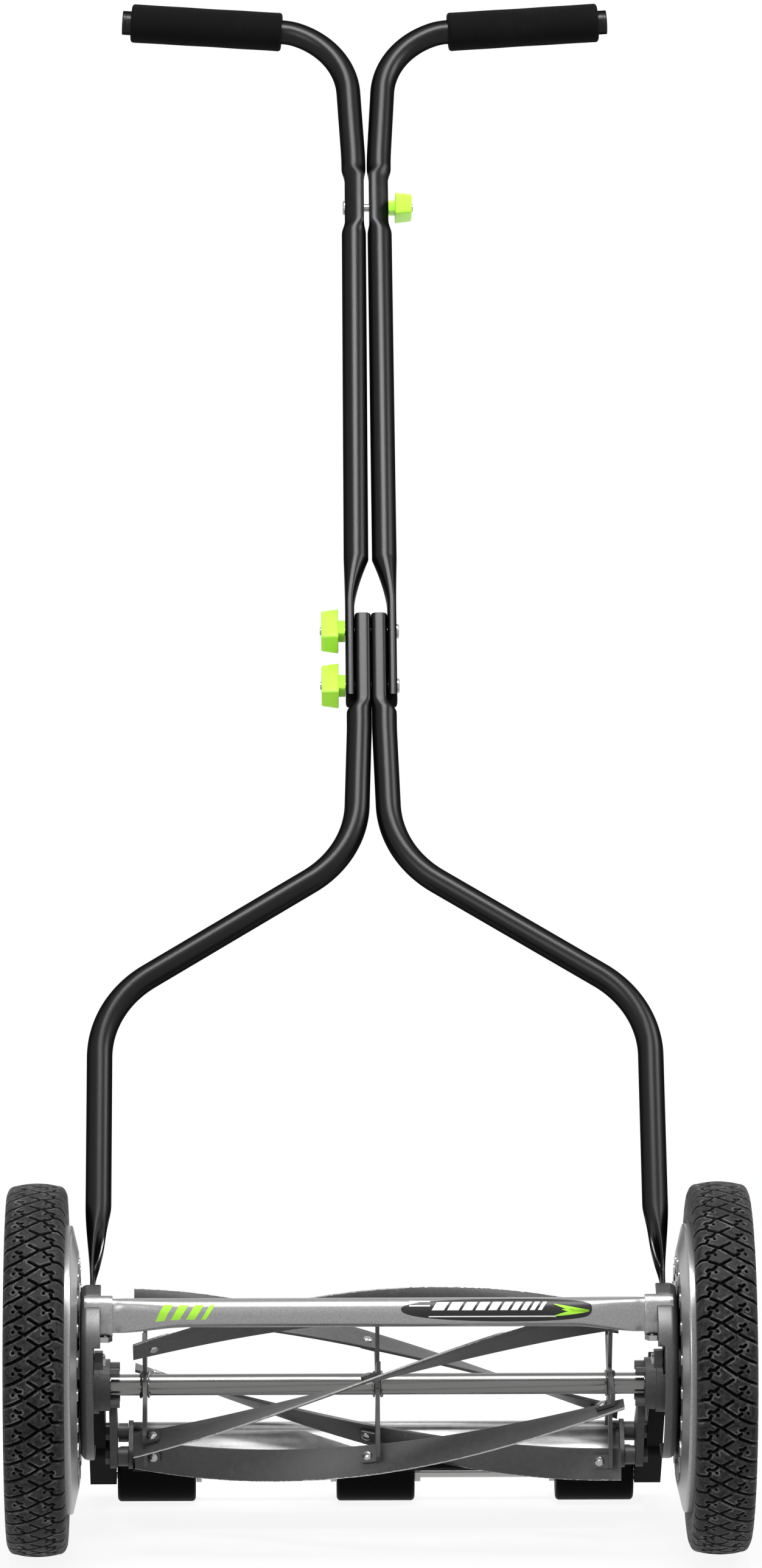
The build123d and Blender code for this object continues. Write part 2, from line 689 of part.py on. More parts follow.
def bearing_housing():
    """Stepped casting round the reel's journal with an arm down to the cutter bar."""
    casting = bar_x(HOUSING_FACE, HOUSING_STEP, HOUSING_BODY, REEL)
    casting += bar_x(HOUSING_STEP, PLATE_INNER, HOUSING_FLANGE, REEL)
    pivot = around(REEL, CUTTER_SCREW_CIRCLE, CUTTER_PIVOT_ANGLE)
    setter = around(REEL, CUTTER_SCREW_CIRCLE, CUTTER_SETTER_ANGLE)
    root = around(REEL, ARM_ROOT_CIRCLE, ARM_ROOT_ANGLE)
    arm = hull_of([(root, ARM_ROOT_RADIUS), (pivot, ARM_BOSS_RADIUS), (setter, ARM_BOSS_RADIUS)])
    casting += plate_x(arm, ARM_START, ARM_END)
    casting -= bar_x(ARM_START - 1, PLATE_INNER + 1, BUSH_RADIUS, REEL)
    casting -= bar_x(ARM_START - 1, ARM_END + 1, CUTTER_SCREW_RADIUS, pivot)
    casting -= bar_x(ARM_START - 1, ARM_END + 1, CUTTER_SCREW_RADIUS + SETTER_SLOT, setter)
    for angle in HOUSING_BOLT_ANGLES:
        place = around(REEL, HOUSING_BOLT_CIRCLE, angle)
        casting -= bar_x(ARM_START, PLATE_INNER + 1, HOUSING_BOLT_RADIUS, place)
        casting -= bar_x(ARM_START - 1, HOUSING_FACE, BOLT_HEAD_RADIUS + BOLT_HEAD_GAP, place)
    return casting


def housing_bolts():
    """Bolts that hold a bearing housing to its side plate, heads inward."""
    bolts = []
    for angle in HOUSING_BOLT_ANGLES:
        place = around(REEL, HOUSING_BOLT_CIRCLE, angle)
        head = hex_x(HOUSING_FACE - BOLT_HEAD_HEIGHT, HOUSING_FACE, BOLT_HEAD_RADIUS, place)
        bolts.append(head + bar_x(HOUSING_FACE, PLATE_OUTER, HOUSING_BOLT_RADIUS, place))
    return group(bolts)


def reel_bush():
    """Plain bush for the reel's journal."""
    return sleeve_x(HOUSING_FACE + 0.5, PLATE_INNER, BUSH_RADIUS, JOURNAL_RADIUS + RUNNING_GAP, REEL)


# Cutter bar
def cutter_screw(angle):
    """Screw along X between the cutter bar's ear and the bearing arm."""
    place = around(REEL, CUTTER_SCREW_CIRCLE, angle)
    thumb_start = CUTTER_HALF_LENGTH + CUTTER_EAR + CUTTER_SIDE_GAP
    screw = bar_x(CUTTER_HALF_LENGTH, ARM_END + CUTTER_NUT, CUTTER_SCREW_RADIUS, place)
    screw += bar_x(thumb_start, ARM_START - CUTTER_SIDE_GAP, THUMB_RADIUS, place)
    return screw + hex_x(ARM_END + CUTTER_SIDE_GAP, ARM_END + CUTTER_NUT, M6_HEX, place)


def knife_edge():
    """Place of the bed knife's edge, just outside the reel's sweep."""
    return around(REEL, BLADE_OUTER + KNIFE_GAP, -90 + KNIFE_ANGLE)


def cutter_bar():
    """Curved bar behind the reel with a rolled top bead, a flat foot and an ear at each end."""
    ring = disc_at(REEL, CUTTER_OUTER) - disc_at(REEL, CUTTER_INNER)
    far = 3 * CUTTER_OUTER
    wedge = make_face(
        Polyline(REEL, around(REEL, far, CUTTER_TOP_ANGLE), around(REEL, far, CUTTER_FOOT_ANGLE), close=True)
    )
    edge_y, edge_z = knife_edge()
    foot_front = around(REEL, CUTTER_INNER, CUTTER_FOOT_ANGLE)[0]
    foot_back = edge_y + KNIFE_DEPTH
    foot = Pos((foot_front + foot_back) / 2, edge_z + CUTTER_SHEET / 2) * Rectangle(
        foot_back - foot_front, CUTTER_SHEET
    )
    above_knife = Pos(REEL[0], edge_z + far / 2) * Rectangle(2 * far, far)
    bead_place = around(REEL, CUTTER_INNER + CUTTER_SHEET / 2, CUTTER_TOP_ANGLE)
    section = ((ring & wedge) + foot) & above_knife
    section += disc_at(bead_place, CUTTER_BEAD)
    bar = plate_x(section, -CUTTER_HALF_LENGTH, CUTTER_HALF_LENGTH)
    pivot = around(REEL, CUTTER_SCREW_CIRCLE, CUTTER_PIVOT_ANGLE)
    setter = around(REEL, CUTTER_SCREW_CIRCLE, CUTTER_SETTER_ANGLE)
    ear_shape = hull_of([(pivot, CUTTER_EAR_RADIUS), (setter, CUTTER_EAR_RADIUS)])
    ear = plate_x(ear_shape, CUTTER_HALF_LENGTH, CUTTER_HALF_LENGTH + CUTTER_EAR)
    ear -= bar_x(0, 2 * CUTTER_HALF_LENGTH, CUTTER_SCREW_RADIUS + RUNNING_GAP, pivot)
    ear -= bar_x(0, 2 * CUTTER_HALF_LENGTH, CUTTER_SCREW_RADIUS, setter)
    return bar + ear + left_of(ear) - knife_rivets(whole=False)


def knife_rivets(whole=True):
    """Rivets through the cutter bar's foot and the knife, or only their shanks."""
    edge_y, edge_z = knife_edge()
    place_y = edge_y + KNIFE_DEPTH - KNIFE_RIVET_EDGE
    top = edge_z + CUTTER_SHEET
    bottom = edge_z - KNIFE_THICKNESS
    rivets = []
    for number in range(KNIFE_RIVETS):
        x = (number - (KNIFE_RIVETS - 1) / 2) * KNIFE_RIVET_PITCH
        rivet = Pos(x, place_y, (top + bottom) / 2) * Cylinder(RIVET_RADIUS, top - bottom)
        if whole:
            rivet += Pos(x, place_y, top + 1) * Cylinder(RIVET_HEAD_RADIUS, 2)
            rivet += Pos(x, place_y, bottom - 1) * Cylinder(RIVET_HEAD_RADIUS, 2)
        rivets.append(rivet)
    return rivets


def bed_knife():
    """Flat knife with a relieved front edge under the cutter bar."""
    edge_y, edge_z = knife_edge()
    outline = Polyline(
        (edge_y, edge_z),
        (edge_y + KNIFE_DEPTH, edge_z),
        (edge_y + KNIFE_DEPTH, edge_z - KNIFE_THICKNESS),
        (edge_y + 4, edge_z - KNIFE_THICKNESS),
        (edge_y, edge_z - 1),
        close=True,
    )
    return plate_x(make_face(outline), -CUTTER_HALF_LENGTH, CUTTER_HALF_LENGTH) - knife_rivets(whole=False)


# Rollers
def roller_bracket():
    """Black arm from the side plate's studs down to the roller rod, slotted for height."""
    foot = (ROLLER, BRACKET_ROD_RADIUS)
    plate = hull_of([*[(stud, BRACKET_STUD_RADIUS) for stud in STUDS], foot])
    knuckle_place = (ROLLER[0] + KNUCKLE_PLACE[0], ROLLER[1] + KNUCKLE_PLACE[1])
    knuckle = hull_of([(knuckle_place, KNUCKLE_RADIUS), foot])
    arm = plate_x(plate, BRACKET_PLATE_START, BRACKET_END) + plate_x(knuckle, BRACKET_START, BRACKET_END)
    slot_length = 2 * (HEIGHT_TRAVEL + STUD_RADIUS + SLOT_GAP)
    for stud in STUDS:
        slot = Pos(*stud) * SlotOverall(slot_length, 2 * (STUD_RADIUS + SLOT_GAP), rotation=90)
        arm -= plate_x(slot, BRACKET_PLATE_START - 1, BRACKET_END + 1)
    arm -= bar_x(BRACKET_START - 1, BRACKET_END + 1, ROD_RADIUS, ROLLER)
    below = Pos(BRACKET_END, ROLLER[0], ROLLER[1] - BRACKET_FLAT) * Box(
        60, 80, 20, align=(Align.CENTER, Align.CENTER, Align.MAX)
    )
    return arm - below


def roller_studs():
    """Studs welded to a side plate's ear."""
    return group([bar_x(BRACKET_START - 1, PLATE_INNER, STUD_RADIUS, stud) for stud in STUDS])


def hex_nuts():
    """Nuts on the handle pivots and on the roller studs."""
    nuts = [hex_x(LUG_INNER - 0.3 - M8_NUT, LUG_INNER - 0.3, M8_HEX, PIVOT, STUD_RADIUS)]
    nut_end = BRACKET_PLATE_START - 0.3
    nuts += [hex_x(nut_end - M8_NUT, nut_end, M8_HEX, stud, STUD_RADIUS) for stud in STUDS]
    return pair(group(nuts))


def pivot_bolt():
    """Bolt that the handle swings on, its head outside the side plate."""
    head = hex_x(PLATE_OUTER, PLATE_OUTER + M8_HEAD, M8_HEX, PIVOT)
    return head + bar_x(LUG_INNER - M8_NUT - 2, PLATE_OUTER, STUD_RADIUS, PIVOT)


def roller(station):
    """Short roller with rounded ends."""
    half = ROLLER_LENGTH / 2
    bore = ROD_RADIUS + ROLLER_BORE_GAP
    return turned(
        [
            (station - half, bore, 0),
            (station - half, ROLLER_RADIUS, ROLLER_ROUNDING),
            (station + half, ROLLER_RADIUS, ROLLER_ROUNDING),
            (station + half, bore, 0),
        ],
        ROLLER,
    )


def roller_collars():
    """Push-on rings that keep each roller in place on the rod."""
    collars = []
    for station in ROLLER_STATIONS.values():
        for side in (-1, 1):
            middle = station + side * (ROLLER_LENGTH / 2 + COLLAR_GAP + COLLAR_WIDTH / 2)
            start = middle - COLLAR_WIDTH / 2
            end = middle + COLLAR_WIDTH / 2
            if abs(middle) < BRACKET_START - COLLAR_WIDTH:
                collars.append(sleeve_x(start, end, COLLAR_RADIUS, ROD_RADIUS, ROLLER))
    return group(collars)


# Handle
def leaned(shape):
    """Swing an upright handle piece back about the pivot to its resting lean."""
    return Pos(0, *PIVOT) * Rot(X=HANDLE_LEAN - 90) * shape


def oval_at(rise, middle, half_width, half_depth):
    """Oval section across a handle tube."""
    return Plane.XY.offset(rise) * Pos(middle, 0) * Ellipse(half_width, half_depth)


def tube_along(path):
    """Hollow round tube along a path."""
    start = Plane(origin=path @ 0, z_dir=path % 0)
    return sweep(start * (Circle(TUBE_RADIUS) - Circle(TUBE_RADIUS - TUBE_WALL)), path=path)


def bolt_hole(rise):
    """Hole for a handle bolt, across both sides."""
    return bar_x(-60, 60, M6_RADIUS, (0, rise))


def lower_tube():
    """Forked lower tube: pivot lug, two knees and a flattened top."""
    path = FilletPolyline(
        (FORK_HALF_WIDTH, 0, FORK_ROUND_START),
        (FORK_HALF_WIDTH, 0, FORK_KNEE),
        (STEM_KNEE_HALF_WIDTH, 0, STEM_KNEE),
        (LOWER_HALF_WIDTH, 0, LOWER_ROUND_END - STRAIGHT_END),
        (LOWER_HALF_WIDTH, 0, LOWER_ROUND_END),
        radius=[KNEE_RADIUS, KNEE_RADIUS, SPREAD_RADIUS],
    )
    tube = tube_along(path)
    lug_middle = (LUG_INNER + LUG_OUTER) / 2
    lug_half = (LUG_OUTER - LUG_INNER) / 2
    lug_outline = Circle(LUG_WIDTH / 2) + Pos(0, LUG_TOP / 2) * Rectangle(LUG_WIDTH, LUG_TOP)
    lug = plate_x(lug_outline, LUG_INNER, LUG_OUTER)
    lug -= bar_x(LUG_INNER - 1, LUG_OUTER + 1, STUD_RADIUS + RUNNING_GAP, (0, 0))
    squeeze = loft(
        [
            oval_at(LUG_TOP - LUG_LAP, lug_middle, lug_half, LUG_WIDTH / 2),
            oval_at(FORK_ROUND_START, FORK_HALF_WIDTH, TUBE_RADIUS, TUBE_RADIUS),
        ]
    )
    half = (JOINT_PLANE + JOINT_TRIM - JOINT_INNER) / 2
    middle = JOINT_INNER + half
    flattening = loft(
        [
            oval_at(LOWER_ROUND_END, LOWER_HALF_WIDTH, TUBE_RADIUS, TUBE_RADIUS),
            oval_at(LOWER_FLAT_START, middle, half, FLAT_DEPTH),
        ]
    )
    flat = extrude(oval_at(LOWER_FLAT_START, middle, half, FLAT_DEPTH), amount=LOWER_TOP - LOWER_FLAT_START)
    flat += flattening
    beyond = Pos(JOINT_PLANE + 20, 0, (UPPER_BOTTOM + LOWER_TOP) / 2 + 20) * Box(
        40, 60, LOWER_TOP - UPPER_BOTTOM + 44
    )
    piece = tube + lug + squeeze + (flat - beyond)
    for rise in JOINT_BOLT_RISES:
        piece -= bolt_hole(rise)
    return piece


def grip_frame():
    """Plane at the grip's inner end, Z outward along the grip."""
    turn = math.radians(GRIP_ANGLE)
    outward = Vector(math.cos(turn), 0, math.sin(turn))
    return Plane(origin=(GRIP_INNER_X, 0, GRIP_INNER_RISE), x_dir=(0, 1, 0), z_dir=outward)


def upper_path():
    """Centre line of an upper tube: a slight spread, a wide bend, then a tight bend into the grip."""
    climb = math.tan(math.radians(GRIP_ANGLE))
    level = GRIP_INNER_RISE - GRIP_INNER_X * climb
    splay = math.tan(math.radians(SPLAY_ANGLE))
    splay_x = STEM_HALF_WIDTH + (SPLAY_START - SPREAD_START) * math.tan(math.radians(SPREAD_ANGLE))
    corner_x = (splay_x + (level - SPLAY_START) * splay) / (1 - climb * splay)
    return FilletPolyline(
        (UPPER_HALF_WIDTH, 0, UPPER_ROUND_START),
        (UPPER_HALF_WIDTH, 0, UPPER_ROUND_START + STRAIGHT_END),
        (STEM_HALF_WIDTH, 0, SPREAD_START),
        (splay_x, 0, SPLAY_START),
        (corner_x, 0, level + corner_x * climb),
        grip_frame().from_local_coords((0, 0, GRIP_LENGTH + TUBE_STUB)),
        radius=[SPREAD_RADIUS, SPREAD_RADIUS, SPLAY_RADIUS, GRIP_BEND],
    )


def dimple_cut():
    """Pressed flat on one face of an upper tube round the top bolt, as a wedge-ended cut."""
    surface = STEM_HALF_WIDTH + TUBE_RADIUS
    outline = Polyline(
        (surface + TUBE_RADIUS, DIMPLE_FROM),
        (surface + DIMPLE_LEAD, DIMPLE_FROM),
        (TOP_FACE, DIMPLE_FROM + DIMPLE_SLOPE),
        (TOP_FACE, DIMPLE_TO - DIMPLE_SLOPE),
        (surface + DIMPLE_LEAD, DIMPLE_TO),
        (surface + TUBE_RADIUS, DIMPLE_TO),
        close=True,
    )
    return extrude(Plane.XZ * make_face(outline), amount=2 * TUBE_RADIUS, both=True)


def upper_tube():
    """Upper tube: flattened foot, pressed flats at the top bolt and an outward bend."""
    tube = tube_along(upper_path())
    half = (JOINT_FACE - JOINT_PLANE + JOINT_TRIM) / 2
    middle = JOINT_FACE - half
    squeeze = loft(
        [
            oval_at(UPPER_FLAT_END, middle, half, FLAT_DEPTH),
            oval_at(UPPER_ROUND_START, UPPER_HALF_WIDTH, TUBE_RADIUS, TUBE_RADIUS),
        ]
    )
    foot = extrude(oval_at(UPPER_BOTTOM, middle, half, FLAT_DEPTH), amount=UPPER_FLAT_END - UPPER_BOTTOM)
    lap_middle = (UPPER_BOTTOM + LOWER_TOP) / 2
    inside = Pos(JOINT_PLANE - 20, 0, lap_middle) * Box(40, 60, LOWER_TOP - UPPER_BOTTOM + 4)
    plug = Pos(STEM_HALF_WIDTH, 0, (DIMPLE_FROM + DIMPLE_TO) / 2 - 4) * Cylinder(
        TUBE_RADIUS - TUBE_WALL / 2, DIMPLE_TO - DIMPLE_FROM
    )
    dimple = dimple_cut()
    inner_shift = 2 * STEM_HALF_WIDTH - DIMPLE_CUT + DIMPLE_INNER_CUT
    inner_dimple = Pos(inner_shift, 0, 0) * mirror(dimple, about=Plane.YZ)
    piece = tube + squeeze + (foot - inside) + plug - dimple - inner_dimple
    for rise in (*JOINT_BOLT_RISES, TOP_BOLT_RISE):
        piece -= bolt_hole(rise)
    return piece


def grip():
    """Foam sleeve with softened ends."""
    foam = Cylinder(GRIP_RADIUS, GRIP_LENGTH, align=(Align.CENTER, Align.CENTER, Align.MIN))
    foam = fillet(foam.edges(), GRIP_ROUNDING)
    return grip_frame() * (foam - Cylinder(TUBE_RADIUS, 3 * GRIP_LENGTH))


def end_cap():
    """Plug in the open end of an upper tube."""
    end = GRIP_LENGTH + TUBE_STUB
    head = Pos(Z=end + CAP_HEAD / 2) * Cylinder(TUBE_RADIUS, CAP_HEAD)
    plug = Pos(Z=end - CAP_PLUG / 2) * Cylinder(TUBE_RADIUS - TUBE_WALL, CAP_PLUG)
    return grip_frame() * (head + plug)


def handle_bolt(rise, face, side):
    """Coach bolt across the handle; side is +1 where the knob is on the right."""
    tip = face + KNOB_STEM + KNOB_BODY + BOLT_TIP
    shank = bar_x(-face, tip, M6_RADIUS, (0, rise))
    head = bar_x(-face - DOME_HEIGHT, -face, DOME_RADIUS, (0, rise))
    head = fillet(head.faces().sort_by(Axis.X)[0].edges(), DOME_ROUNDING)
    bolt = shank + head
    return bolt if side > 0 else left_of(bolt)


def handle_knob(rise, face, side, turn):
    """Oblong hand knob on a handle bolt; side is +1 for the right, turn is the lie of its long side."""
    place = (0, rise)
    stem_start = face + KNOB_SEAT_GAP
    body_start = stem_start + KNOB_STEM
    body_end = body_start + KNOB_BODY
    outline = Pos(*place) * Rot(Z=turn) * RectangleRounded(KNOB_LENGTH, KNOB_WIDTH, KNOB_CORNER)
    knob = extrude(Plane.YZ.offset(body_start) * outline, amount=KNOB_BODY, taper=KNOB_TAPER)
    knob += bar_x(stem_start, body_start + 1, KNOB_STEM_RADIUS, place)
    knob -= bar_x(stem_start - 1, body_end + 1, M6_RADIUS + RUNNING_GAP, place)
    return knob if side > 0 else left_of(knob)


HANDLE_BOLTS = [
    handle_bolt(JOINT_BOLT_RISES[0], JOINT_FACE, -1),
    handle_bolt(JOINT_BOLT_RISES[1], JOINT_FACE, -1),
    handle_bolt(TOP_BOLT_RISE, TOP_FACE, 1),
]

PARTS = {
    "side_plate_right": side_plate(),
    "cross_tube": cross_tube(),
    "tube_sockets": pair(tube_socket()),
    "socket_bolts": pair(socket_bolt()),
    "bearing_housing_right": bearing_housing(),
    "housing_bolts": pair(housing_bolts()),
    "reel_bushes": pair(reel_bush()),
    "wheel_axles": pair(wheel_axle()),
    "axle_washers": pair(axle_washer()),
    "axle_clips": pair(axle_clip()),
    "pivot_bolts": pair(pivot_bolt()),
    "roller_studs": pair(roller_studs()),
    "hex_nuts": hex_nuts(),
    "cutter_pivot_screws": pair(cutter_screw(CUTTER_PIVOT_ANGLE)),
    "cutter_setting_screws": pair(cutter_screw(CUTTER_SETTER_ANGLE)),
    "cutter_bar": cutter_bar(),
    "bed_knife": bed_knife(),
    "knife_rivets": group(knife_rivets()),
    "reel_shaft": reel_shaft(),
    "blade_rivets": group([rivet for x in SPIDER_STATIONS.values() for rivet in blade_rivets_at(x)]),
    "pinion_right": pinion(),
    "pinion_clips": pair(pinion_clip()),
    "ratchet_pawls": group([pawl(0), left_of(pawl(PAWL_SHIFT))]),
    "tyre_right": tyre(),
    "rim_right": rim(),
    "ring_gear_right": ring_gear(),
    "wheel_cover_right": wheel_cover(),
    "roller_bracket_right": roller_bracket(),
    "roller_rod": bar_x(-BRACKET_END, BRACKET_END, ROD_RADIUS, ROLLER),
    "roller_collars": roller_collars(),
    "lower_tube_right": leaned(lower_tube()),
    "upper_tube_right": leaned(upper_tube()),
    "grip_right": leaned(grip()),
    "end_caps": leaned(pair(end_cap())),
    "handle_bolts": leaned(group(HANDLE_BOLTS)),
    "joint_knob_lower": leaned(handle_knob(JOINT_BOLT_RISES[0], JOINT_FACE, -1, JOINT_KNOB_TURNS[0])),
    "joint_knob_upper": leaned(handle_knob(JOINT_BOLT_RISES[1], JOINT_FACE, -1, JOINT_KNOB_TURNS[1])),
    "top_knob": leaned(handle_knob(TOP_BOLT_RISE, TOP_FACE, 1, TOP_KNOB_TURN)),
}
for name in [name for name in PARTS if name.endswith("_right")]:
    PARTS[name.replace("_right", "_left")] = left_of(PARTS[name])
for side, station in SPIDER_STATIONS.items():
    PARTS[f"spider_{side}"] = spider(station)
for side, station in ROLLER_STATIONS.items():
    PARTS[f"roller_{side}"] = roller(station)
for number in range(BLADE_COUNT):
    PARTS[f"blade_{number + 1}"] = blade(number)

os.makedirs("parts", exist_ok=True)
for name, shape in PARTS.items():
    export_step(shape, f"parts/{name}.step")
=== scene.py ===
import math

import bmesh
import bpy
import numpy as np
from bpy.props import FloatProperty, FloatVectorProperty, IntProperty, PointerProperty
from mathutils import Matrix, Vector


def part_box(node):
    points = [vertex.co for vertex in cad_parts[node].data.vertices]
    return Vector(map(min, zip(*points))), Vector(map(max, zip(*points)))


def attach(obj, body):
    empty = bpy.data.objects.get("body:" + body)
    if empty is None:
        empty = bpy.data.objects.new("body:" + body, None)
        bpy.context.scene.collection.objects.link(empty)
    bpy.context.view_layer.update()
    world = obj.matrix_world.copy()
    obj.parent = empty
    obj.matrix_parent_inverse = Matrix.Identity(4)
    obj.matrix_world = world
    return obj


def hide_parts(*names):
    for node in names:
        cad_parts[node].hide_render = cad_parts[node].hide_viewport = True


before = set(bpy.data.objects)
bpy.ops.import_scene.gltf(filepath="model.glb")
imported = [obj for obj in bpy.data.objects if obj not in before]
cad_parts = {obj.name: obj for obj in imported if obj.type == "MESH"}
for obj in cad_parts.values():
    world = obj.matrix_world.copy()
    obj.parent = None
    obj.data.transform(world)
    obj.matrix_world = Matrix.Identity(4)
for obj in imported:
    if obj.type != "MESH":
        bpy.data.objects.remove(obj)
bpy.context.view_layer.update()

bl_info = {
    "name": "Push Reel Mower",
    "version": (1, 0, 0),
    "blender": (4, 5, 0),
    "location": "View3D > Sidebar > Mower",
    "description": "Dresses a packed reel mower with its surfaces, finishes and a plain studio stage",
    "category": "Object",
}

# Shapes are worked out in millimetres and put into Blender in metres.
# The right side is drawn; the left side is its mirror image.
MM = 0.001
SIDES = {"right": 1, "left": -1}
SHARP_ANGLE = 38.0
MERGE = 2e-6


def span(node):
    """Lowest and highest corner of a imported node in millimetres."""
    low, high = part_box(node)
    return np.array(low) / MM, np.array(high) / MM


# Wheels
TYRE_LOW, TYRE_HIGH = span("tyre_right")
TYRE_RADIUS = (TYRE_HIGH[2] - TYRE_LOW[2]) / 2
TYRE_WIDTH = TYRE_HIGH[0] - TYRE_LOW[0]
TYRE_MIDDLE = (TYRE_LOW[0] + TYRE_HIGH[0]) / 2
AXLE_HEIGHT = (TYRE_LOW[2] + TYRE_HIGH[2]) / 2
TYRE_SEAT_RADIUS = 105.0
TYRE_SEAT_INSET = 1.75
TYRE_BULGE_RADIUS = 117.0
TYRE_SHOULDER = 6.0
TYRE_CROWN = 1.9
TYRE_SIDE_LEAN = 0.5
TYRE_SEAT_EDGE = 0.6
TREAD_COLUMNS = 64
TREAD_ROWS = 22
TREAD_EDGE = 21.7

# Side of a tyre, as (inset from the flank, height over the bulge)
TYRE_SIDE = ((0.2, 6.5), (0.0, 3.0), (0.0, 0.0), (0.15, -3.0), (0.8, -7.0))

# Tread grooves: bottom and rim as shares of half their width, and the band of wear and painted highlight
# along them: its fullest line and its end
GROOVE_BOTTOM = 0.35
GROOVE_RIM = 1.45
WEAR_HIGHLIGHT_FULL = 1.7
WEAR_HIGHLIGHT_END = 2.7

# Repeats of the tread whose strokes come near a point
STROKE_REPEATS = (-2, -1, 0, 1)

# One repeat of the tread: strokes of (millimetres outward, repeats down the front)
TREAD_STROKES = {
    "first vee": ((-11.7, 0.49), (-4.35, 0.73), (3.26, 0.41)),
    "second vee": ((-2.45, 0.81), (5.98, 1.19), (9.5, 1.05)),
    "outer sipe": ((8.7, 0.85), (10.9, 0.86), (12.5, 0.76)),
    "outer shoulder": ((8.15, 1.27), (14.7, 1.49), (18.5, 1.58), (21.7, 1.69)),
    "inner sipe": ((-7.3, 0.81), (-10.05, 0.98), (-12.8, 0.93), (-13.9, 1.02)),
    "inner shoulder": ((-12.2, 1.15), (-13.6, 1.36), (-17.4, 1.37), (-21.7, 1.49)),
    "inner pin": ((-7.6, 1.10), (-7.5, 1.12)),
    "outer pin": ((14.1, 1.02), (14.2, 1.04)),
}

# Reel
SHAFT_LOW, SHAFT_HIGH = span("reel_shaft")
REEL_Y = (SHAFT_LOW[1] + SHAFT_HIGH[1]) / 2
REEL_Z = (SHAFT_LOW[2] + SHAFT_HIGH[2]) / 2
BLADE_COUNT = 5
BLADE_HALF_LENGTH = 178.0
BLADE_INNER = 47.5
BLADE_OUTER = 71.0
BLADE_THICKNESS = 2.5
BLADE_EDGE = 1.2
BLADE_GRIND = 2.2
BLADE_START_ANGLE = 214.6
BLADE_TWIST = 105.6
BLADE_ROWS = 241
BLADE_LEVELS = 6
BLADE_CHAMFER = 0.4
BLADE_NICK = 0.22
NICK_SEED = 5
SHAFT_RADIUS = 7.8
SPIDER_STATIONS = (-170.0, 0.0, 170.0)
SPIDER_THICKNESS = 2.9
TAB_REACH = 10.5
TAB_BEHIND = 4.45
RIVET_CIRCLE = 57.0
RIVET_SHANK = 2.5
RIVET_HEAD = 3.8
RIVET_DOME = 1.8
RIVET_DOME_STEPS = 6
RIVET_COLUMNS = 20

# Welds round the shaft at the spiders
WELD_SEED = 11
WELD_ROWS = 72
WELD_COLUMNS = 14
WELD_SIZE = 1.35
WELD_LEAST = 0.5
WELD_MOST = 2.2
WELD_LUMPS = (0.1, 0.3)
WELD_PHASES = (0, 6)
WELD_WAVES = (2, 3, 5, 9, 14)
WELD_STAND = 0.5
WELD_GAP = 0.35
WELD_REACH = 1.2

# Cutter bar, darkened as painted shade from where its ears begin
CUTTER_SHADE_FROM = 160.0
CUTTER_SHADE_TO = 178.0

# Cross tube
BAR_Y = -27.0
BAR_Z = 184.3
BAR_RADIUS = 10.5
BAR_ROUND_TO = 140.0
BAR_OVAL_FROM = 192.0
BAR_END = 206.0
BAR_SQUARE_FROM = 172.0
BAR_SQUARE_TO = 184.0
OVAL_DEPTH = 7.6
OVAL_HEIGHT = 12.6
OVAL_DROP = 2.0
OVAL_SQUARE = 0.25
BAR_ROWS = 41
BAR_FLARE_ROWS = 40
BAR_COLUMNS = 80

# Handle, drawn upright as (across, depth, rise along the tubes from the pivot)
PIVOT_Y = -16.0
PIVOT_Z = 146.5
TUBE_RADIUS = 9.5
FORK_HALF_WIDTH = 204.0
FORK_KNEE = 292.8
STEM_KNEE = 421.4
STEM_KNEE_HALF_WIDTH = 13.1
KNEE_RADIUS = 82.0
LUG_INNER = 206.3
LUG_OUTER = 209.6
LUG_HALF_WIDTH = 11.5
LUG_TOP = 60.0
FORK_ROUND_START = 126.0
FOLD_DENT = 3.2
FOLD_DENT_WIDTH = 4.2
FOLD_LIP = 2.2
FOLD_LIP_TURN = 142.0
FOLD_GROOVE = 0.42
FOLD_GROOVE_TURN = 112.0
FOLD_TURN_WIDTH = 17.0
LOWER_ROUND_END = 530.0
LOWER_HALF_WIDTH = 9.53
LOWER_PRESS_START = 544.0
LOWER_FLAT_START = 554.0
LOWER_TOP = 628.0
LOWER_FLAT_DEPTH = 8.6
JOINT_PLANE = 12.5
JOINT_INNER = 0.01
UPPER_BOTTOM = 555.0
UPPER_FLAT_END = 638.0
UPPER_ROUND_START = 680.0
UPPER_HALF_WIDTH = 10.85
CHANNEL_OUTER = 19.6
CHANNEL_INNER = 12.52
CHANNEL_DEPTH = 10.4
DIMPLE_FROM = 979.0
DIMPLE_TO = 1040.0
DIMPLE_SLOPE = 10.0
DIMPLE_SKEW = 4.2
DIMPLE_CUT = 2.5
DIMPLE_INNER_CUT = 1.5
STEM_HALF_WIDTH = 9.92
SPREAD_START = 1049.0
SPREAD_ANGLE = 3.1
SPREAD_RADIUS = 300.0
SPLAY_START = 1153.5
SPLAY_ANGLE = 68.0
SPLAY_RADIUS = 64.0
GRIP_BEND = 40.0
GRIP_INNER_X = 66.0
GRIP_INNER_RISE = 1171.6
GRIP_ANGLE = 4.24
GRIP_ROUNDING = 2.4
GRIP_SWELL = 0.12
GRIP_WAVES = (0.11, 0.041)
GRIP_ROWS = 60
GRIP_COLUMNS = 72
GRIP_CORNER_STEPS = 7
TUBE_STUB = 4.0
TUBE_COLUMNS = 33
PATH_STEP = 2.0
ARC_STEPS = 6
FOOT_ROWS = 14
END_BORE = 0.8
END_BORE_ROWS = 3

# Pressed sections are ovals drawn squarer by powers of (across, depth)
LUG_POWERS = (0.35, 0.8)
BOX_POWERS = (0.6, 0.45)
CHANNEL_POWERS = (0.5, 0.75)
CHANNEL_OPENING = 1.5
DIMPLE_DEEPER = 1.06

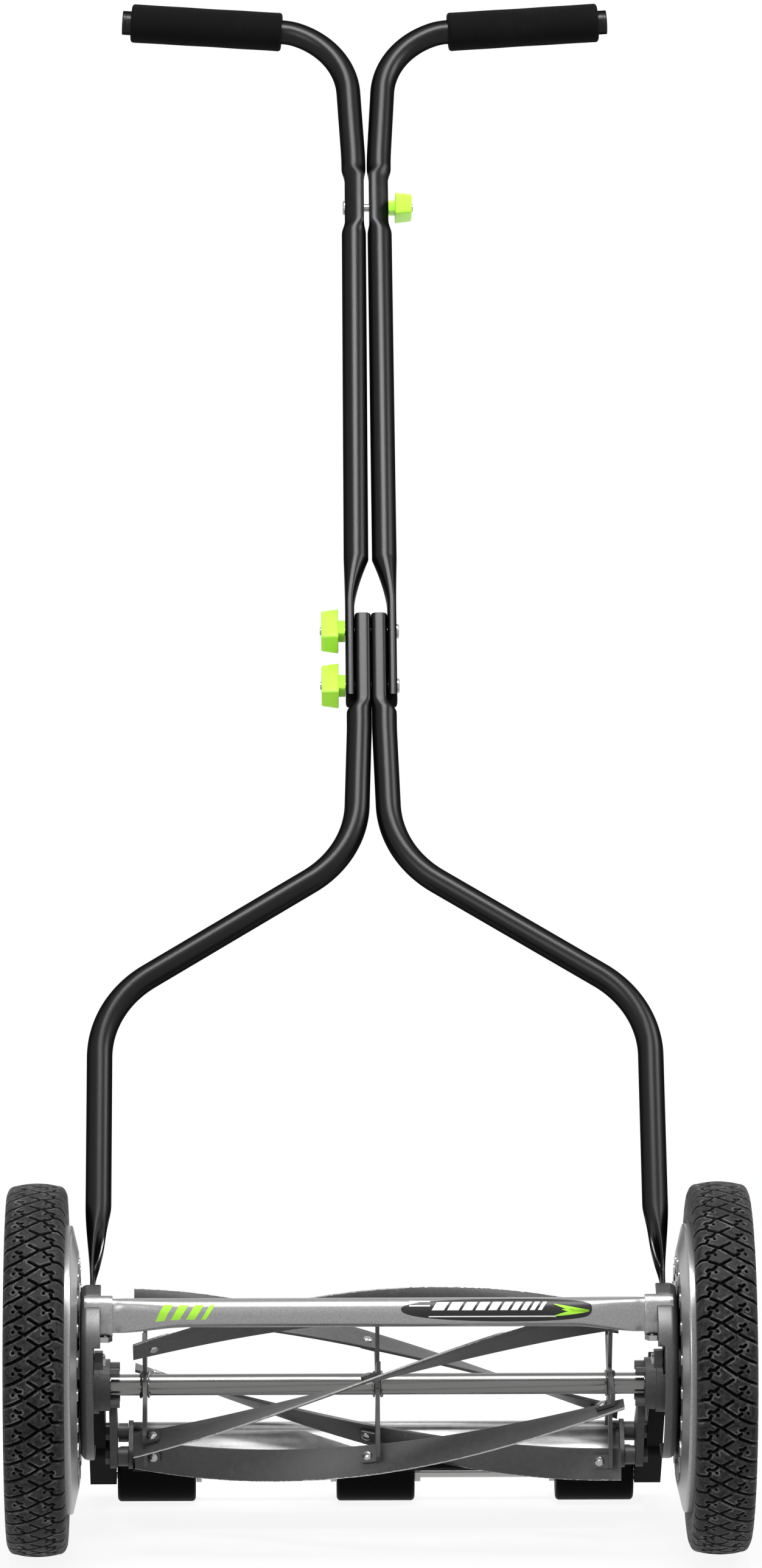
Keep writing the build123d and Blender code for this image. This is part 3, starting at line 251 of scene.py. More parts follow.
# Hand knobs
KNOB_STEM_RADIUS = 9.2
KNOB_STEM_EDGE = 0.4
KNOB_STEM = 5.2
KNOB_BODY = 12.9
KNOB_TAPER = 6.0
KNOB_BORE = 3.05
KNOB_CORNER = 2.0
KNOB_CORNER_STEPS = 7
KNOB_ROUNDING = 0.9
KNOB_ROUNDING_STEPS = 5
KNOB_RECESS = 1.2
KNOB_RECESS_RADIUS = 5.6
KNOB_GAP = 0.2
TOP_FACE = STEM_HALF_WIDTH + TUBE_RADIUS - DIMPLE_CUT

# Each knob's rise, side, the face it bears on, the lie of its long side in degrees, its body and its node
KNOBS = (
    (568.0, -1, CHANNEL_OUTER, 67.0, "lower_joint_knob", "joint_knob_lower"),
    (616.3, -1, CHANNEL_OUTER, 66.0, "upper_joint_knob", "joint_knob_upper"),
    (1003.8, 1, TOP_FACE, 21.5, "upper_bolt_knob", "top_knob"),
)

# Printed design on the cross tube: spans across it, and bands in degrees from its top over its front
PRINT_THICKNESS = 0.06
PRINT_LIFT = 0.05
OVERPRINT_LIFT = 0.12
PRINT_COLUMNS = 17
PRINT_ROWS = 7
LENS_FROM = 16.0
LENS_TO = 154.0
LENS_ROWS = 73
LENS_MIDDLE = 66.0
LENS_HALF = 54.0
LENS_SWELL = 1.55
LENS_POINT = 0.42
LENS_BLUNT = 0.3
DASH_FROM = 40.0
DASH_WIDTHS = np.linspace(9.0, 3.0, 10)
DASH_GAP = 2.2
DASH_BAND = (34.0, 70.0)
DASH_LEAN = -4.0
RULE_SPAN = (36.0, 128.0)
RULE_ROWS = 47
RULE_BAND = (92.0, 97.0)
STREAK_SPAN = (22.0, 37.0)
STREAK_ROWS = 9
STREAK_BANDS = ((28.0, 34.0), (48.0, 54.0))
STRIPE_SPANS = ((-158.0, -151.5), (-147.0, -140.5), (-136.0, -129.5), (-125.0, -121.5))
STRIPE_BAND = (42.0, 104.0)
STRIPE_LEAN = -7.0

# Printed grass: blades from one root, each with its reach to the left in millimetres and upwards in degrees
GRASS_BLADES = ((26.0, 30.0), (20.0, 6.0), (26.0, -20.0))
GRASS_ROOT = 152.0
GRASS_ANGLE = 74.0
GRASS_HALF = 7.5
GRASS_ROWS = 25
GRASS_CURVE = 1.6
GRASS_BLUNT = 0.12
GRASS_FULL = 0.8

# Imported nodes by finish, each name the start of a node's name
NODE_FINISHES = {
    # The bed knife takes the black paint as painted shade: it is coloured black for the shade under the
    # reel
    "black_paint": ("bed_knife", "end_caps"),
    "silver_paint": ("rim", "tube_sockets", "wheel_cover"),
    "plate_silver": ("side_plate",),
    "zinc_steel": ("cutter_bar",),
    "shaft_steel": ("reel_shaft",),
    "bright_steel": (
        *("pivot_bolts", "socket_bolts", "handle_bolts", "axle_washers", "axle_clips", "pinion_clips"),
        *("roller_studs", "roller_rod", "roller_collars", "knife_rivets", "wheel_axles"),
    ),
    "dark_steel": (
        *("spider", "ring_gear", "pinion", "ratchet_pawls", "hex_nuts", "housing_bolts"),
        *("cutter_pivot_screws", "cutter_setting_screws"),
    ),
    "cast_grey": ("bearing_housing",),
    "bronze": ("reel_bushes",),
    "black_plastic": ("roller_left", "roller_middle", "roller_right", "roller_bracket"),
}

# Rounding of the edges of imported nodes, which are named in the same way
EDGE_ROUNDING = {
    "side_plate": 0.5,
    "tube_sockets": 0.5,
    "bearing_housing": 0.7,
    "hex_nuts": 0.4,
    "roller_bracket": 0.6,
    "cutter_bar": 0.25,
    "spider": 0.25,
    "end_caps": 1.0,
}
EDGE_ANGLE = 40.0
EDGE_SEGMENTS = 2
JOIN_GAP = 0.01


def number_setting(name, description, default, **kind):
    """Setting that holds one number, with its unit, subtype or limit."""
    return FloatProperty(name=name, description=description, default=default, **kind)


def colour_setting(name, description, default):
    """Setting that holds a colour."""
    return FloatVectorProperty(name=name, description=description, default=default, subtype="COLOR")


class TyreSettings(bpy.types.PropertyGroup):
    repeats: IntProperty(
        name="Tread Repeats", description="Repeats of the tread round the tyre", default=56, min=12
    )
    groove_width: number_setting("Groove Width", "Width of a groove at its top", 0.0019, unit="LENGTH")
    groove_depth: number_setting("Groove Depth", "Depth of a tread groove", 0.0023, unit="LENGTH")


class HandleSettings(bpy.types.PropertyGroup):
    lean: number_setting("Lean", "Angle of the handle above level", math.radians(50), subtype="ANGLE")
    grip_length: number_setting("Grip Length", "Length of a foam grip", 0.1195, unit="LENGTH")
    grip_radius: number_setting("Grip Radius", "Outside radius of a foam grip", 0.0153, unit="LENGTH")
    grip_firmness: number_setting("Grip Firmness", "How full the foam is", 0.9, subtype="FACTOR")
    knob_length: number_setting("Knob Length", "Long side of a hand knob", 0.0364, unit="LENGTH")
    knob_width: number_setting("Knob Width", "Short side of a hand knob", 0.0176, unit="LENGTH")


class ColourSettings(bpy.types.PropertyGroup):
    paint: colour_setting("Black Paint", "Powder coat of the handle tubes", (0.02, 0.02, 0.0205))
    silver: colour_setting("Silver Paint", "Paint of the cross tube, plates and rims", (0.29, 0.29, 0.29))
    zinc: colour_setting("Zinc", "Plated steel of the cutter bar", (0.64, 0.64, 0.64))
    steel: colour_setting("Bright Steel", "Bare steel of the shaft and fasteners", (0.36, 0.36, 0.355))
    blade: colour_setting("Blade Steel", "Dark rolled steel of the blades", (0.068, 0.068, 0.068))
    cast: colour_setting("Cast Grey", "Cast metal of the bearing housings", (0.06, 0.06, 0.06))
    bronze: colour_setting("Bronze", "Sintered bronze of the bushes", (0.42, 0.27, 0.12))
    lime: colour_setting("Lime", "Plastic of the hand knobs", (0.4, 0.85, 0.045))
    foam: colour_setting("Foam", "Foam of the grips", (0.0035, 0.0035, 0.0035))
    rubber: colour_setting("Rubber", "Rubber of the tyres", (0.023, 0.023, 0.023))
    plastic: colour_setting("Black Plastic", "Plastic of the rollers and brackets", (0.004, 0.004, 0.004))
    print_white: colour_setting("Print White", "Pale ink of the printed strip", (0.8, 0.8, 0.8))


class StageSettings(bpy.types.PropertyGroup):
    key: number_setting("Key Light", "Power of the key light", 45.0, unit="POWER")
    top: number_setting("Top Light", "Power of the light overhead", 95.0, unit="POWER")
    fill: number_setting("Fill Light", "Power of the fill light", 30.0, unit="POWER")
    world: number_setting("Surround", "Light from all round", 0.3, min=0)
    floor_shadow: number_setting("Floor Shadow", "Share of the shadow that shows", 0.1, subtype="FACTOR")
    floor_clear: number_setting("Clear Floor", "Distance to plain white floor", 0.8, unit="LENGTH")


# Meshes from grids of points


def smooth(value, low, high):
    """Eases from 0 at low to 1 at high, level at both ends."""
    share = np.clip((value - low) / (high - low), 0, 1)
    return share * share * (3 - 2 * share)


def grid_faces(rows, columns, ring_rows, ring_columns):
    """Four-sided faces of a grid of points; a ring direction joins its last line to its first."""
    row = np.arange(rows if ring_rows else rows - 1)
    column = np.arange(columns if ring_columns else columns - 1)
    row, column = np.meshgrid(row, column, indexing="ij")
    next_row = (row + 1) % rows
    next_column = (column + 1) % columns
    corners = [
        row * columns + column,
        next_row * columns + column,
        next_row * columns + next_column,
        row * columns + next_column,
    ]
    return np.stack(corners, -1).reshape(-1, 4)


def add_object(name, data):
    """New object in the scene."""
    item = bpy.data.objects.new(name, data)
    bpy.context.scene.collection.objects.link(item)
    return item


def make_piece(name, grids, finish_name, body, slot="", stands_for=(), marks=None, ring_rows=False):
    """One mesh from grids of points (rows, columns, 3), each closed round its columns.

    Points that coincide are merged, which closes ends that run together into a
    point or a line, and the faces are turned outwards. A mark is a value for
    each point that the finish reads.
    """
    points = []
    faces = []
    start = 0
    for grid in grids:
        rows, columns = grid.shape[:2]
        points.append(grid.reshape(-1, 3) * MM)
        faces.append(grid_faces(rows, columns, ring_rows, True) + start)
        start += rows * columns
    mesh = bpy.data.meshes.new(name)
    mesh.from_pydata(np.concatenate(points).tolist(), [], np.concatenate(faces).tolist())
    for label, values in (marks or {}).items():
        layer = mesh.attributes.new(label, "FLOAT", "POINT")
        layer.data.foreach_set("value", np.ascontiguousarray(values, np.float32).ravel())
    merged = bmesh.new()
    merged.from_mesh(mesh)
    bmesh.ops.remove_doubles(merged, verts=merged.verts, dist=MERGE)
    bmesh.ops.recalc_face_normals(merged, faces=merged.faces)
    merged.to_mesh(mesh)
    merged.free()
    mesh.shade_smooth()
    mesh.set_sharp_from_angle(angle=math.radians(SHARP_ANGLE))
    mesh.materials.append(finish(finish_name))
    piece = add_object(name, mesh)
    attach(piece, body)
    if stands_for:
        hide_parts(*stands_for)
    return piece


def mirrored(grid, side):
    """The grid for one side, drawn on the right and turned over for the left."""
    return grid * np.array([side, 1.0, 1.0])


def make_pair(label, grid, finish_name, body, node, **more):
    """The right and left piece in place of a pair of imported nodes; {} in a body stands for the side."""
    pair = []
    for name, side in SIDES.items():
        place = (body.format(name), finish_name, [f"{node}_{name}"])
        pair.append(make_piece(f"{label}_{name}", [mirrored(grid, side)], finish_name, *place, **more))
    return pair


def closed_ends(grid):
    """Adds a row at each end that gathers the end's points at their middle."""
    first = np.broadcast_to(grid[:1].mean(1, keepdims=True), grid[:1].shape)
    last = np.broadcast_to(grid[-1:].mean(1, keepdims=True), grid[-1:].shape)
    return np.concatenate([first, grid, last])


def revolved(profile, columns):
    """Profile rows of (along, radius) turned about the first axis into (along, across, up)."""
    turn = np.linspace(0, 2 * np.pi, columns, endpoint=False)
    along = np.broadcast_to(profile[:, :1], (len(profile), columns))
    return np.stack([along, profile[:, 1:] * np.cos(turn), profile[:, 1:] * np.sin(turn)], -1)


def arc(middle, radius, start, stop, steps):
    """Points of an arc from one angle to another, in degrees."""
    angle = np.radians(np.linspace(start, stop, steps))
    return np.stack([middle[0] + radius * np.cos(angle), middle[1] + radius * np.sin(angle)], -1)


def turned(along, across, degrees):
    """Both parts of flat points turned about their origin."""
    cosine = math.cos(math.radians(degrees))
    sine = math.sin(math.radians(degrees))
    return along * cosine - across * sine, along * sine + across * cosine


def bell(value, middle, width):
    """1 at a middle value, falling off smoothly over a width to both sides."""
    return np.exp(-(((value - middle) / width) ** 2))


# Tyres


def tyre_profile():
    """Closed outline of a tyre as (outward from its middle, radius), with the tread's points first.

    The tread is a flat arch that drops by the crown height towards its edges and
    is rounded off at the shoulders; straight sides lean in to the bulge and the seat.
    """
    half = TYRE_WIDTH / 2
    edge = half - TYRE_SIDE_LEAN - TYRE_SHOULDER
    outward = np.linspace(-TREAD_EDGE, TREAD_EDGE, TREAD_COLUMNS)
    past = np.clip(np.abs(outward) - edge, 0, TYRE_SHOULDER)
    round_drop = TYRE_SHOULDER - np.sqrt(TYRE_SHOULDER**2 - past**2)
    crown_drop = TYRE_CROWN * np.minimum(np.abs(outward) / edge, 1) ** 2
    tread = np.stack([outward, TYRE_RADIUS - crown_drop - round_drop], -1)
    seat = half - TYRE_SEAT_INSET
    side = [(half - inset, TYRE_BULGE_RADIUS + height) for inset, height in TYRE_SIDE]
    side += [(seat, TYRE_SEAT_RADIUS + TYRE_SEAT_EDGE), (seat - TYRE_SEAT_EDGE, TYRE_SEAT_RADIUS)]
    side = np.array(side)
    return np.concatenate([tread, side, side[::-1] * np.array([-1, 1])])


def stroke_distance(outward, down, stroke, pitch):
    """Distance of each point to a stroke of the tread and its neighbours along the tyre."""
    points = np.array(stroke) * np.array([1, pitch])
    nearest = np.full(np.broadcast(outward, down).shape, np.inf)
    for shift in STROKE_REPEATS:
        for start, stop in zip(points[:-1], points[1:]):
            run = stop - start
            from_start = outward - start[0]
            from_top = down - start[1] - shift * pitch
            share = np.clip((from_start * run[0] + from_top * run[1]) / (run @ run), 0, 1)
            gap = np.hypot(from_start - share * run[0], from_top - share * run[1])
            nearest = np.minimum(nearest, gap)
    return nearest


def tyre_surface(settings):
    """Outline carried round the axle, with grooves cut where a point is near a tread stroke.

    A groove is deepest along its stroke and eases out to the surface at its rim.
    Its share is also the mark for the painted shade down in the grooves.
    Wear and a painted highlight share a narrow band along both sides of every groove.
    """
    profile = tyre_profile()
    pitch = 2 * np.pi * TYRE_RADIUS / settings.repeats
    down = (np.arange(TREAD_ROWS) * pitch / TREAD_ROWS)[:, None]
    outward = profile[None, :TREAD_COLUMNS, 0]
    nearest = np.minimum.reduce([stroke_distance(outward, down, s, pitch) for s in TREAD_STROKES.values()])
    half_width = settings.groove_width / MM / 2
    cut = 1 - smooth(nearest, GROOVE_BOTTOM * half_width, GROOVE_RIM * half_width)
    # Band of wear that also carries a painted highlight along the groove edges
    rubbed = smooth(nearest, half_width, WEAR_HIGHLIGHT_FULL) - smooth(nearest, WEAR_HIGHLIGHT_FULL, WEAR_HIGHLIGHT_END)
    whole = np.zeros((2, TREAD_ROWS, len(profile)))
    whole[:, :, :TREAD_COLUMNS] = cut, rubbed
    groove, wear = np.tile(whole, (1, settings.repeats, 1))
    rows = len(groove)
    angle = (-2 * np.pi * np.arange(rows) / rows)[:, None]
    radius = profile[None, :, 1] - groove * settings.groove_depth / MM
    across = np.broadcast_to(TYRE_MIDDLE + profile[None, :, 0], radius.shape)
    surface = np.stack([across, -radius * np.cos(angle), AXLE_HEIGHT + radius * np.sin(angle)], -1)
    return surface, {"groove": groove, "wear": wear}


class MOWER_OT_tyres(bpy.types.Operator):
    """Builds both tyres with their cut tread"""

    bl_idname = "mower.tyres"
    bl_label = "Tyres"

    def execute(self, context):
        surface, marks = tyre_surface(context.scene.mower_tyre)
        make_pair("tyre_tread", surface, "tyre_rubber", "{}_wheel", "tyre", marks=marks, ring_rows=True)
        return {"FINISHED"}


# Handle tubes


def lean_back(grid, lean):
    """Handle points (across, depth, rise) set on the pivot and leaned back."""
    across, depth, rise = grid[..., 0], grid[..., 1], grid[..., 2]
    y = PIVOT_Y + depth * math.sin(lean) + rise * math.cos(lean)
    z = PIVOT_Z - depth * math.cos(lean) + rise * math.sin(lean)
    return np.stack([across, y, z], -1)


def straight_run(start, stop):
    """Evenly spaced points from a start up to, but not at, a stop."""
    steps = max(2, math.ceil(np.linalg.norm(stop - start) / PATH_STEP))
    return start + (stop - start) * np.linspace(0, 1, steps, endpoint=False)[:, None]


def rounded_line(corners, radii):
    """Points along straight runs whose inner corners are arcs tangent to both runs."""
    corners = np.array(corners, float)
    ways = np.diff(corners, axis=0)
    ways /= np.linalg.norm(ways, axis=1, keepdims=True)
    points = []
    start = corners[0]
    for corner, radius, before, after in zip(corners[1:-1], radii, ways[:-1], ways[1:]):
        turn = math.atan2(before[0] * after[1] - before[1] * after[0], before @ after)
        cut = radius * math.tan(abs(turn) / 2)
        enter = corner - before * cut
        points.append(straight_run(start, enter))
        side = math.copysign(1, turn)
        middle = enter + side * radius * np.array([-before[1], before[0]])
        steps = max(ARC_STEPS, math.ceil(radius * abs(turn) / PATH_STEP))
        angle = np.linspace(0, turn, steps, endpoint=False)[:, None]
        spoke = enter - middle
        square = np.array([-spoke[1], spoke[0]])
        points.append(middle + spoke * np.cos(angle) + square * np.sin(angle))
        start = corner + after * cut
    points.append(straight_run(start, corners[-1]))
    points.append(corners[-1:])
    return np.concatenate(points)


def swept(path, sections):
    """Sections (rows, columns, 2) of (across, depth) carried square to a path of (across, rise)."""
    way = np.gradient(path, axis=0)
    way /= np.linalg.norm(way, axis=1, keepdims=True)
    outward = np.stack([way[:, 1], -way[:, 0]], -1)
    flat = path[:, None, :] + sections[..., :1] * outward[:, None, :]
    return np.stack([flat[..., 0], sections[..., 1], flat[..., 1]], -1)


def half_turns():
    """Angles of a section's outer half and then its inner half; the halves share their end angles."""
    outer = np.linspace(-np.pi / 2, np.pi / 2, TUBE_COLUMNS)
    return np.concatenate([outer, outer + np.pi])


def power(value, exponent):
    """Power of a value that keeps its sign."""
    return np.sign(value) * np.abs(value) ** exponent


def round_section(angle):
    """Round tube section."""
    return np.stack([TUBE_RADIUS * np.cos(angle), TUBE_RADIUS * np.sin(angle)], -1)


def pressed_section(inner, outer, middle, half_depth, powers):
    """Oval section between two planes across, about a tube's middle, drawn squarer by its powers."""
    angle = half_turns()
    half = (outer - inner) / 2
    across = inner + half - middle + half * power(np.cos(angle), powers[0])
    depth = half_depth * power(np.sin(angle), powers[1])
    return np.stack(np.broadcast_arrays(across, depth), -1)


def blend(first, second, share):
    """Goes from the first to the second section as the share goes from 0 to 1 along the rows."""
    share = np.asarray(share)[:, None, None]
    return first * (1 - share) + second * share


def open_end(grid):
    """Turns a tube's last row in by its wall and then down its bore, so that the end is hollow."""
    end = grid[-1:]
    middle = end.mean(1, keepdims=True)
    lip = middle + (end - middle) * END_BORE
    floor = lip - (end - grid[-1 - END_BORE_ROWS : -END_BORE_ROWS])
    return np.concatenate([grid, lip, floor])


def lower_tube_surface():
    """A round tube bent twice: flat lug at its foot, pressed to a flat-fronted box at its top.

    The foot is a flat oval with a round end. Above it the section swells to a
    circle, with a dent pressed into its inner face half way up and a lip beside a
    groove along that face's edges a third of the way up. At the top the section
    narrows to a box with rounded corners that stops at the joint's plane. The
    lip highlight is the lip's share at each point, which the paint colours as a
    painted highlight. Half way and low down are shares that are scaled to 1 at
    their highest.
    """
    line = rounded_line(
        [
            (FORK_HALF_WIDTH, 0),
            (FORK_HALF_WIDTH, FORK_KNEE),
            (STEM_KNEE_HALF_WIDTH, STEM_KNEE),
            (LOWER_HALF_WIDTH, LOWER_ROUND_END),
            (LOWER_HALF_WIDTH, LOWER_TOP),
        ],
        [KNEE_RADIUS, KNEE_RADIUS, SPREAD_RADIUS],
    )
    end = -LUG_HALF_WIDTH * np.sin(np.linspace(np.pi / 2, 0, FOOT_ROWS, endpoint=False))
    path = np.concatenate([np.stack([np.full(len(end), FORK_HALF_WIDTH), end], -1), line])
    rise = path[:, 1]
    angle = half_turns()
    lug_half = np.sqrt(np.maximum(LUG_HALF_WIDTH**2 - np.minimum(rise, 0) ** 2, 0))[:, None]
    lug = pressed_section(LUG_INNER, LUG_OUTER, FORK_HALF_WIDTH, lug_half, LUG_POWERS)
    swell = smooth(rise, LUG_TOP, FORK_ROUND_START)
    sections = blend(lug, np.broadcast_to(round_section(angle), lug.shape), swell)
    half_way = (4 * swell * (1 - swell))[:, None]
    low_down = (27 / 4 * swell * (1 - swell) ** 2)[:, None]
    facing = np.clip(-np.cos(angle), 0, 1)
    dent = FOLD_DENT * half_way * facing * bell(sections[..., 1], 0, FOLD_DENT_WIDTH)
    turn = np.degrees(np.arccos(np.cos(angle)))
    lip = low_down * bell(turn, FOLD_LIP_TURN, FOLD_TURN_WIDTH)
    groove = low_down * bell(turn, FOLD_GROOVE_TURN, FOLD_TURN_WIDTH)
    sections[..., 0] += dent - FOLD_LIP * lip
    sections[..., 1] *= 1 - FOLD_GROOVE * groove
    box = pressed_section(JOINT_INNER, JOINT_PLANE, LOWER_HALF_WIDTH, LOWER_FLAT_DEPTH, BOX_POWERS)
    narrowed = smooth(rise, LOWER_PRESS_START, LOWER_FLAT_START)
    sections = blend(sections, np.broadcast_to(box, lug.shape), narrowed)
    surface = closed_ends(open_end(swept(path, sections)))
    after = len(surface) - len(path) - 1
    return surface, {"crease": np.pad(lip, ((1, after), (0, 0)))}


def upper_path(settings):
    """Centre line of an upper tube as (across, rise): a slight spread, a wide bend, one into the grip."""
    climb = math.tan(math.radians(GRIP_ANGLE))
    level = GRIP_INNER_RISE - GRIP_INNER_X * climb
    splay = math.tan(math.radians(SPLAY_ANGLE))
    splay_x = STEM_HALF_WIDTH + (SPLAY_START - SPREAD_START) * math.tan(math.radians(SPREAD_ANGLE))
    corner_x = (splay_x + (level - SPLAY_START) * splay) / (1 - climb * splay)
    reach = turned(settings.grip_length / MM + TUBE_STUB, 0, GRIP_ANGLE)
    return rounded_line(
        [
            (UPPER_HALF_WIDTH, UPPER_BOTTOM),
            (UPPER_HALF_WIDTH, UPPER_ROUND_START),
            (STEM_HALF_WIDTH, SPREAD_START),
            (splay_x, SPLAY_START),
            (corner_x, level + corner_x * climb),
            (GRIP_INNER_X + reach[0], GRIP_INNER_RISE + reach[1]),
        ],
        [SPREAD_RADIUS, SPREAD_RADIUS, SPLAY_RADIUS, GRIP_BEND],
    )


def upper_tube_surface(settings):
    """A round tube bent to the grip: a narrow box-like foot and pressed flats at the top bolt.

    The foot stands outside the joint's plane and opens out into a circle above
    the joint. The flats push the circle's front and back inwards and clip it on
    both sides, deeper outside than inside, and the tube grows deeper by a little.
    """
    path = upper_path(settings)
    rise = path[:, 1]
    angle = half_turns()
    tube = round_section(angle)
    shape = (len(rise), *tube.shape)
    channel = pressed_section(CHANNEL_INNER, CHANNEL_OUTER, UPPER_HALF_WIDTH, CHANNEL_DEPTH, CHANNEL_POWERS)
    climbed = np.clip((rise - UPPER_FLAT_END) / (UPPER_ROUND_START - UPPER_FLAT_END), 0, 1)
    opening = climbed**CHANNEL_OPENING
    sections = blend(np.broadcast_to(channel, shape), np.broadcast_to(tube, shape), opening)
    pressed = smooth(rise, DIMPLE_FROM, DIMPLE_FROM + DIMPLE_SLOPE)
    pressed = pressed * (1 - smooth(rise, DIMPLE_TO - DIMPLE_SLOPE, DIMPLE_TO))
    pushed = tube[:, 0] - DIMPLE_SKEW * np.abs(np.sin(angle))
    clipped = np.clip(pushed, DIMPLE_INNER_CUT - TUBE_RADIUS, TUBE_RADIUS - DIMPLE_CUT)
    flats = np.stack([clipped, tube[:, 1] * DIMPLE_DEEPER], -1)
    sections = blend(sections, np.broadcast_to(flats, shape), pressed)
    return closed_ends(swept(path, sections))


class MOWER_OT_handle_tubes(bpy.types.Operator):
    """Builds the four handle tubes with their pressed ends and bends"""

    bl_idname = "mower.handle_tubes"
    bl_label = "Handle Tubes"

    def execute(self, context):
        settings = context.scene.mower_handle
        surfaces = {"lower": lower_tube_surface(), "upper": (upper_tube_surface(settings), None)}
        for part, (surface, marks) in surfaces.items():
            grid = lean_back(surface, settings.lean)
            make_pair(f"handle_{part}", grid, "black_paint", "handle", f"{part}_tube", marks=marks)
        return {"FINISHED"}


# Grips


def grip_surface(settings):
    """Foam sleeve turned about its tube: a bore, rounded ends and a slightly uneven outside."""
    length = settings.grip_length / MM
    radius = settings.grip_radius / MM
    rounding = radius - GRIP_ROUNDING
    inner = arc((GRIP_ROUNDING, rounding), GRIP_ROUNDING, 180, 90, GRIP_CORNER_STEPS)
    along = np.linspace(GRIP_ROUNDING, length - GRIP_ROUNDING, GRIP_ROWS)[1:-1]
    swelling = GRIP_SWELL * np.cos(along * GRIP_WAVES[0]) * np.cos(along * GRIP_WAVES[1] + 1)
    outside = np.stack([along, radius - GRIP_SWELL + swelling], -1)
    outer = arc((length - GRIP_ROUNDING, rounding), GRIP_ROUNDING, 90, 0, GRIP_CORNER_STEPS)
    bore = np.array([(length, TUBE_RADIUS), (0, TUBE_RADIUS)])
    sleeve = revolved(np.concatenate([inner, outside, outer, bore]), GRIP_COLUMNS)
    across, rise = turned(sleeve[..., 0], sleeve[..., 1], GRIP_ANGLE)
    return np.stack([GRIP_INNER_X + across, sleeve[..., 2], GRIP_INNER_RISE + rise], -1)


class MOWER_OT_grips(bpy.types.Operator):
    """Builds the two foam grips"""

    bl_idname = "mower.grips"
    bl_label = "Foam Grips"

    def execute(self, context):
        settings = context.scene.mower_handle
        grid = lean_back(grip_surface(settings), settings.lean)
        for grip in make_pair("foam_grip", grid, "foam", "handle", "grip", ring_rows=True):
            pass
        return {"FINISHED"}


# Hand knobs


def oblong(half_length, half_width, corner):
    """Points round a rectangle with rounded corners, as (along its long side, across it)."""
    quarter = np.repeat(np.arange(4), KNOB_CORNER_STEPS)
    turn = np.radians(90 * quarter + np.tile(np.linspace(0, 90, KNOB_CORNER_STEPS), 4))
    along = np.where((quarter == 0) | (quarter == 3), 1, -1) * (half_length - corner)
    across = np.where(quarter < 2, 1, -1) * (half_width - corner)
    return np.stack([along + corner * np.cos(turn), across + corner * np.sin(turn)], -1)


def knob_surface(settings, lie):
    """Oblong body on a round stem with a bore: rings carried outwards along the bolt.

    A ring of the body is a rectangle with rounded corners. It shrinks outwards by
    the taper and is drawn in at both ends, which rounds the edges. The rings of
    the stem and of the recess in the end face are circles.
    """
    half_length = settings.knob_length / MM / 2
    half_width = settings.knob_width / MM / 2
    shrink = math.tan(math.radians(KNOB_TAPER))
    end = KNOB_STEM + KNOB_BODY
    floor = end - KNOB_RECESS
    turn = np.radians(np.linspace(0, 90, KNOB_ROUNDING_STEPS))
    inset = KNOB_ROUNDING * (1 - np.sin(turn))
    rounded = KNOB_ROUNDING * (1 - np.cos(turn))
    near = np.stack([KNOB_STEM + rounded, inset], -1)
    far = np.stack([end - rounded, inset], -1)[::-1]
    way = oblong(half_length, half_width, KNOB_CORNER)
    way /= np.linalg.norm(way, axis=1, keepdims=True)
    stem = (
        (0, KNOB_BORE),
        (0, KNOB_STEM_RADIUS - KNOB_STEM_EDGE),
        (KNOB_STEM_EDGE, KNOB_STEM_RADIUS),
        (KNOB_STEM, KNOB_STEM_RADIUS),
    )
    recess = ((end, KNOB_RECESS_RADIUS), (floor, KNOB_RECESS_RADIUS), (floor, KNOB_BORE))
    rings = [(along, radius * way) for along, radius in stem]
    for along, drawn_in in np.concatenate([near, far]):
        less = drawn_in + shrink * (along - KNOB_STEM)
        rings.append((along, oblong(half_length - less, half_width - less, KNOB_CORNER - drawn_in)))
    rings += [(along, radius * way) for along, radius in recess]
    flat = np.array([ring for along, ring in rings])
    along = np.array([np.full(len(way), along) for along, ring in rings])
    depth, rise = turned(flat[..., 0], flat[..., 1], lie)
    return np.stack([along, depth, rise], -1)


class MOWER_OT_knobs(bpy.types.Operator):
    """Builds the three oblong hand knobs"""

    bl_idname = "mower.knobs"
    bl_label = "Hand Knobs"

    def execute(self, context):
        settings = context.scene.mower_handle
        lime = "lime_plastic"
        for rise, side, face, lie, body, node in KNOBS:
            upright = knob_surface(settings, lie) + np.array([face + KNOB_GAP, 0.0, rise])
            grids = [mirrored(lean_back(upright, settings.lean), side)]
            make_piece(f"{node}_moulded", grids, lime, body, lime, [node], ring_rows=True)
        return {"FINISHED"}


# Cross tube and its prints


def bar_size(x):
    """Half depth, half height and middle height of the cross tube at each station across."""
    share = smooth(np.abs(x), BAR_ROUND_TO, BAR_OVAL_FROM)
    depth = BAR_RADIUS + (OVAL_DEPTH - BAR_RADIUS) * share
    height = BAR_RADIUS + (OVAL_HEIGHT - BAR_RADIUS) * share
    return depth, height, BAR_Z - OVAL_DROP * share


def bar_point(x, angle, lift):
    """Point on the cross tube at an angle from its top over its front, lifted off it a little.

    Where the tube flares, its section is a little squarer than an oval.
    """
    depth, height, middle = bar_size(x)
    out = np.abs(x)
    flared = smooth(out, BAR_ROUND_TO, BAR_SQUARE_FROM) - smooth(out, BAR_SQUARE_TO, BAR_OVAL_FROM)
    exponent = 1 - OVAL_SQUARE * flared
    y = BAR_Y - (depth + lift) * power(np.sin(angle), exponent)
    z = middle + (height + lift) * power(np.cos(angle), exponent)
    return np.stack(np.broadcast_arrays(x, y, z), -1)


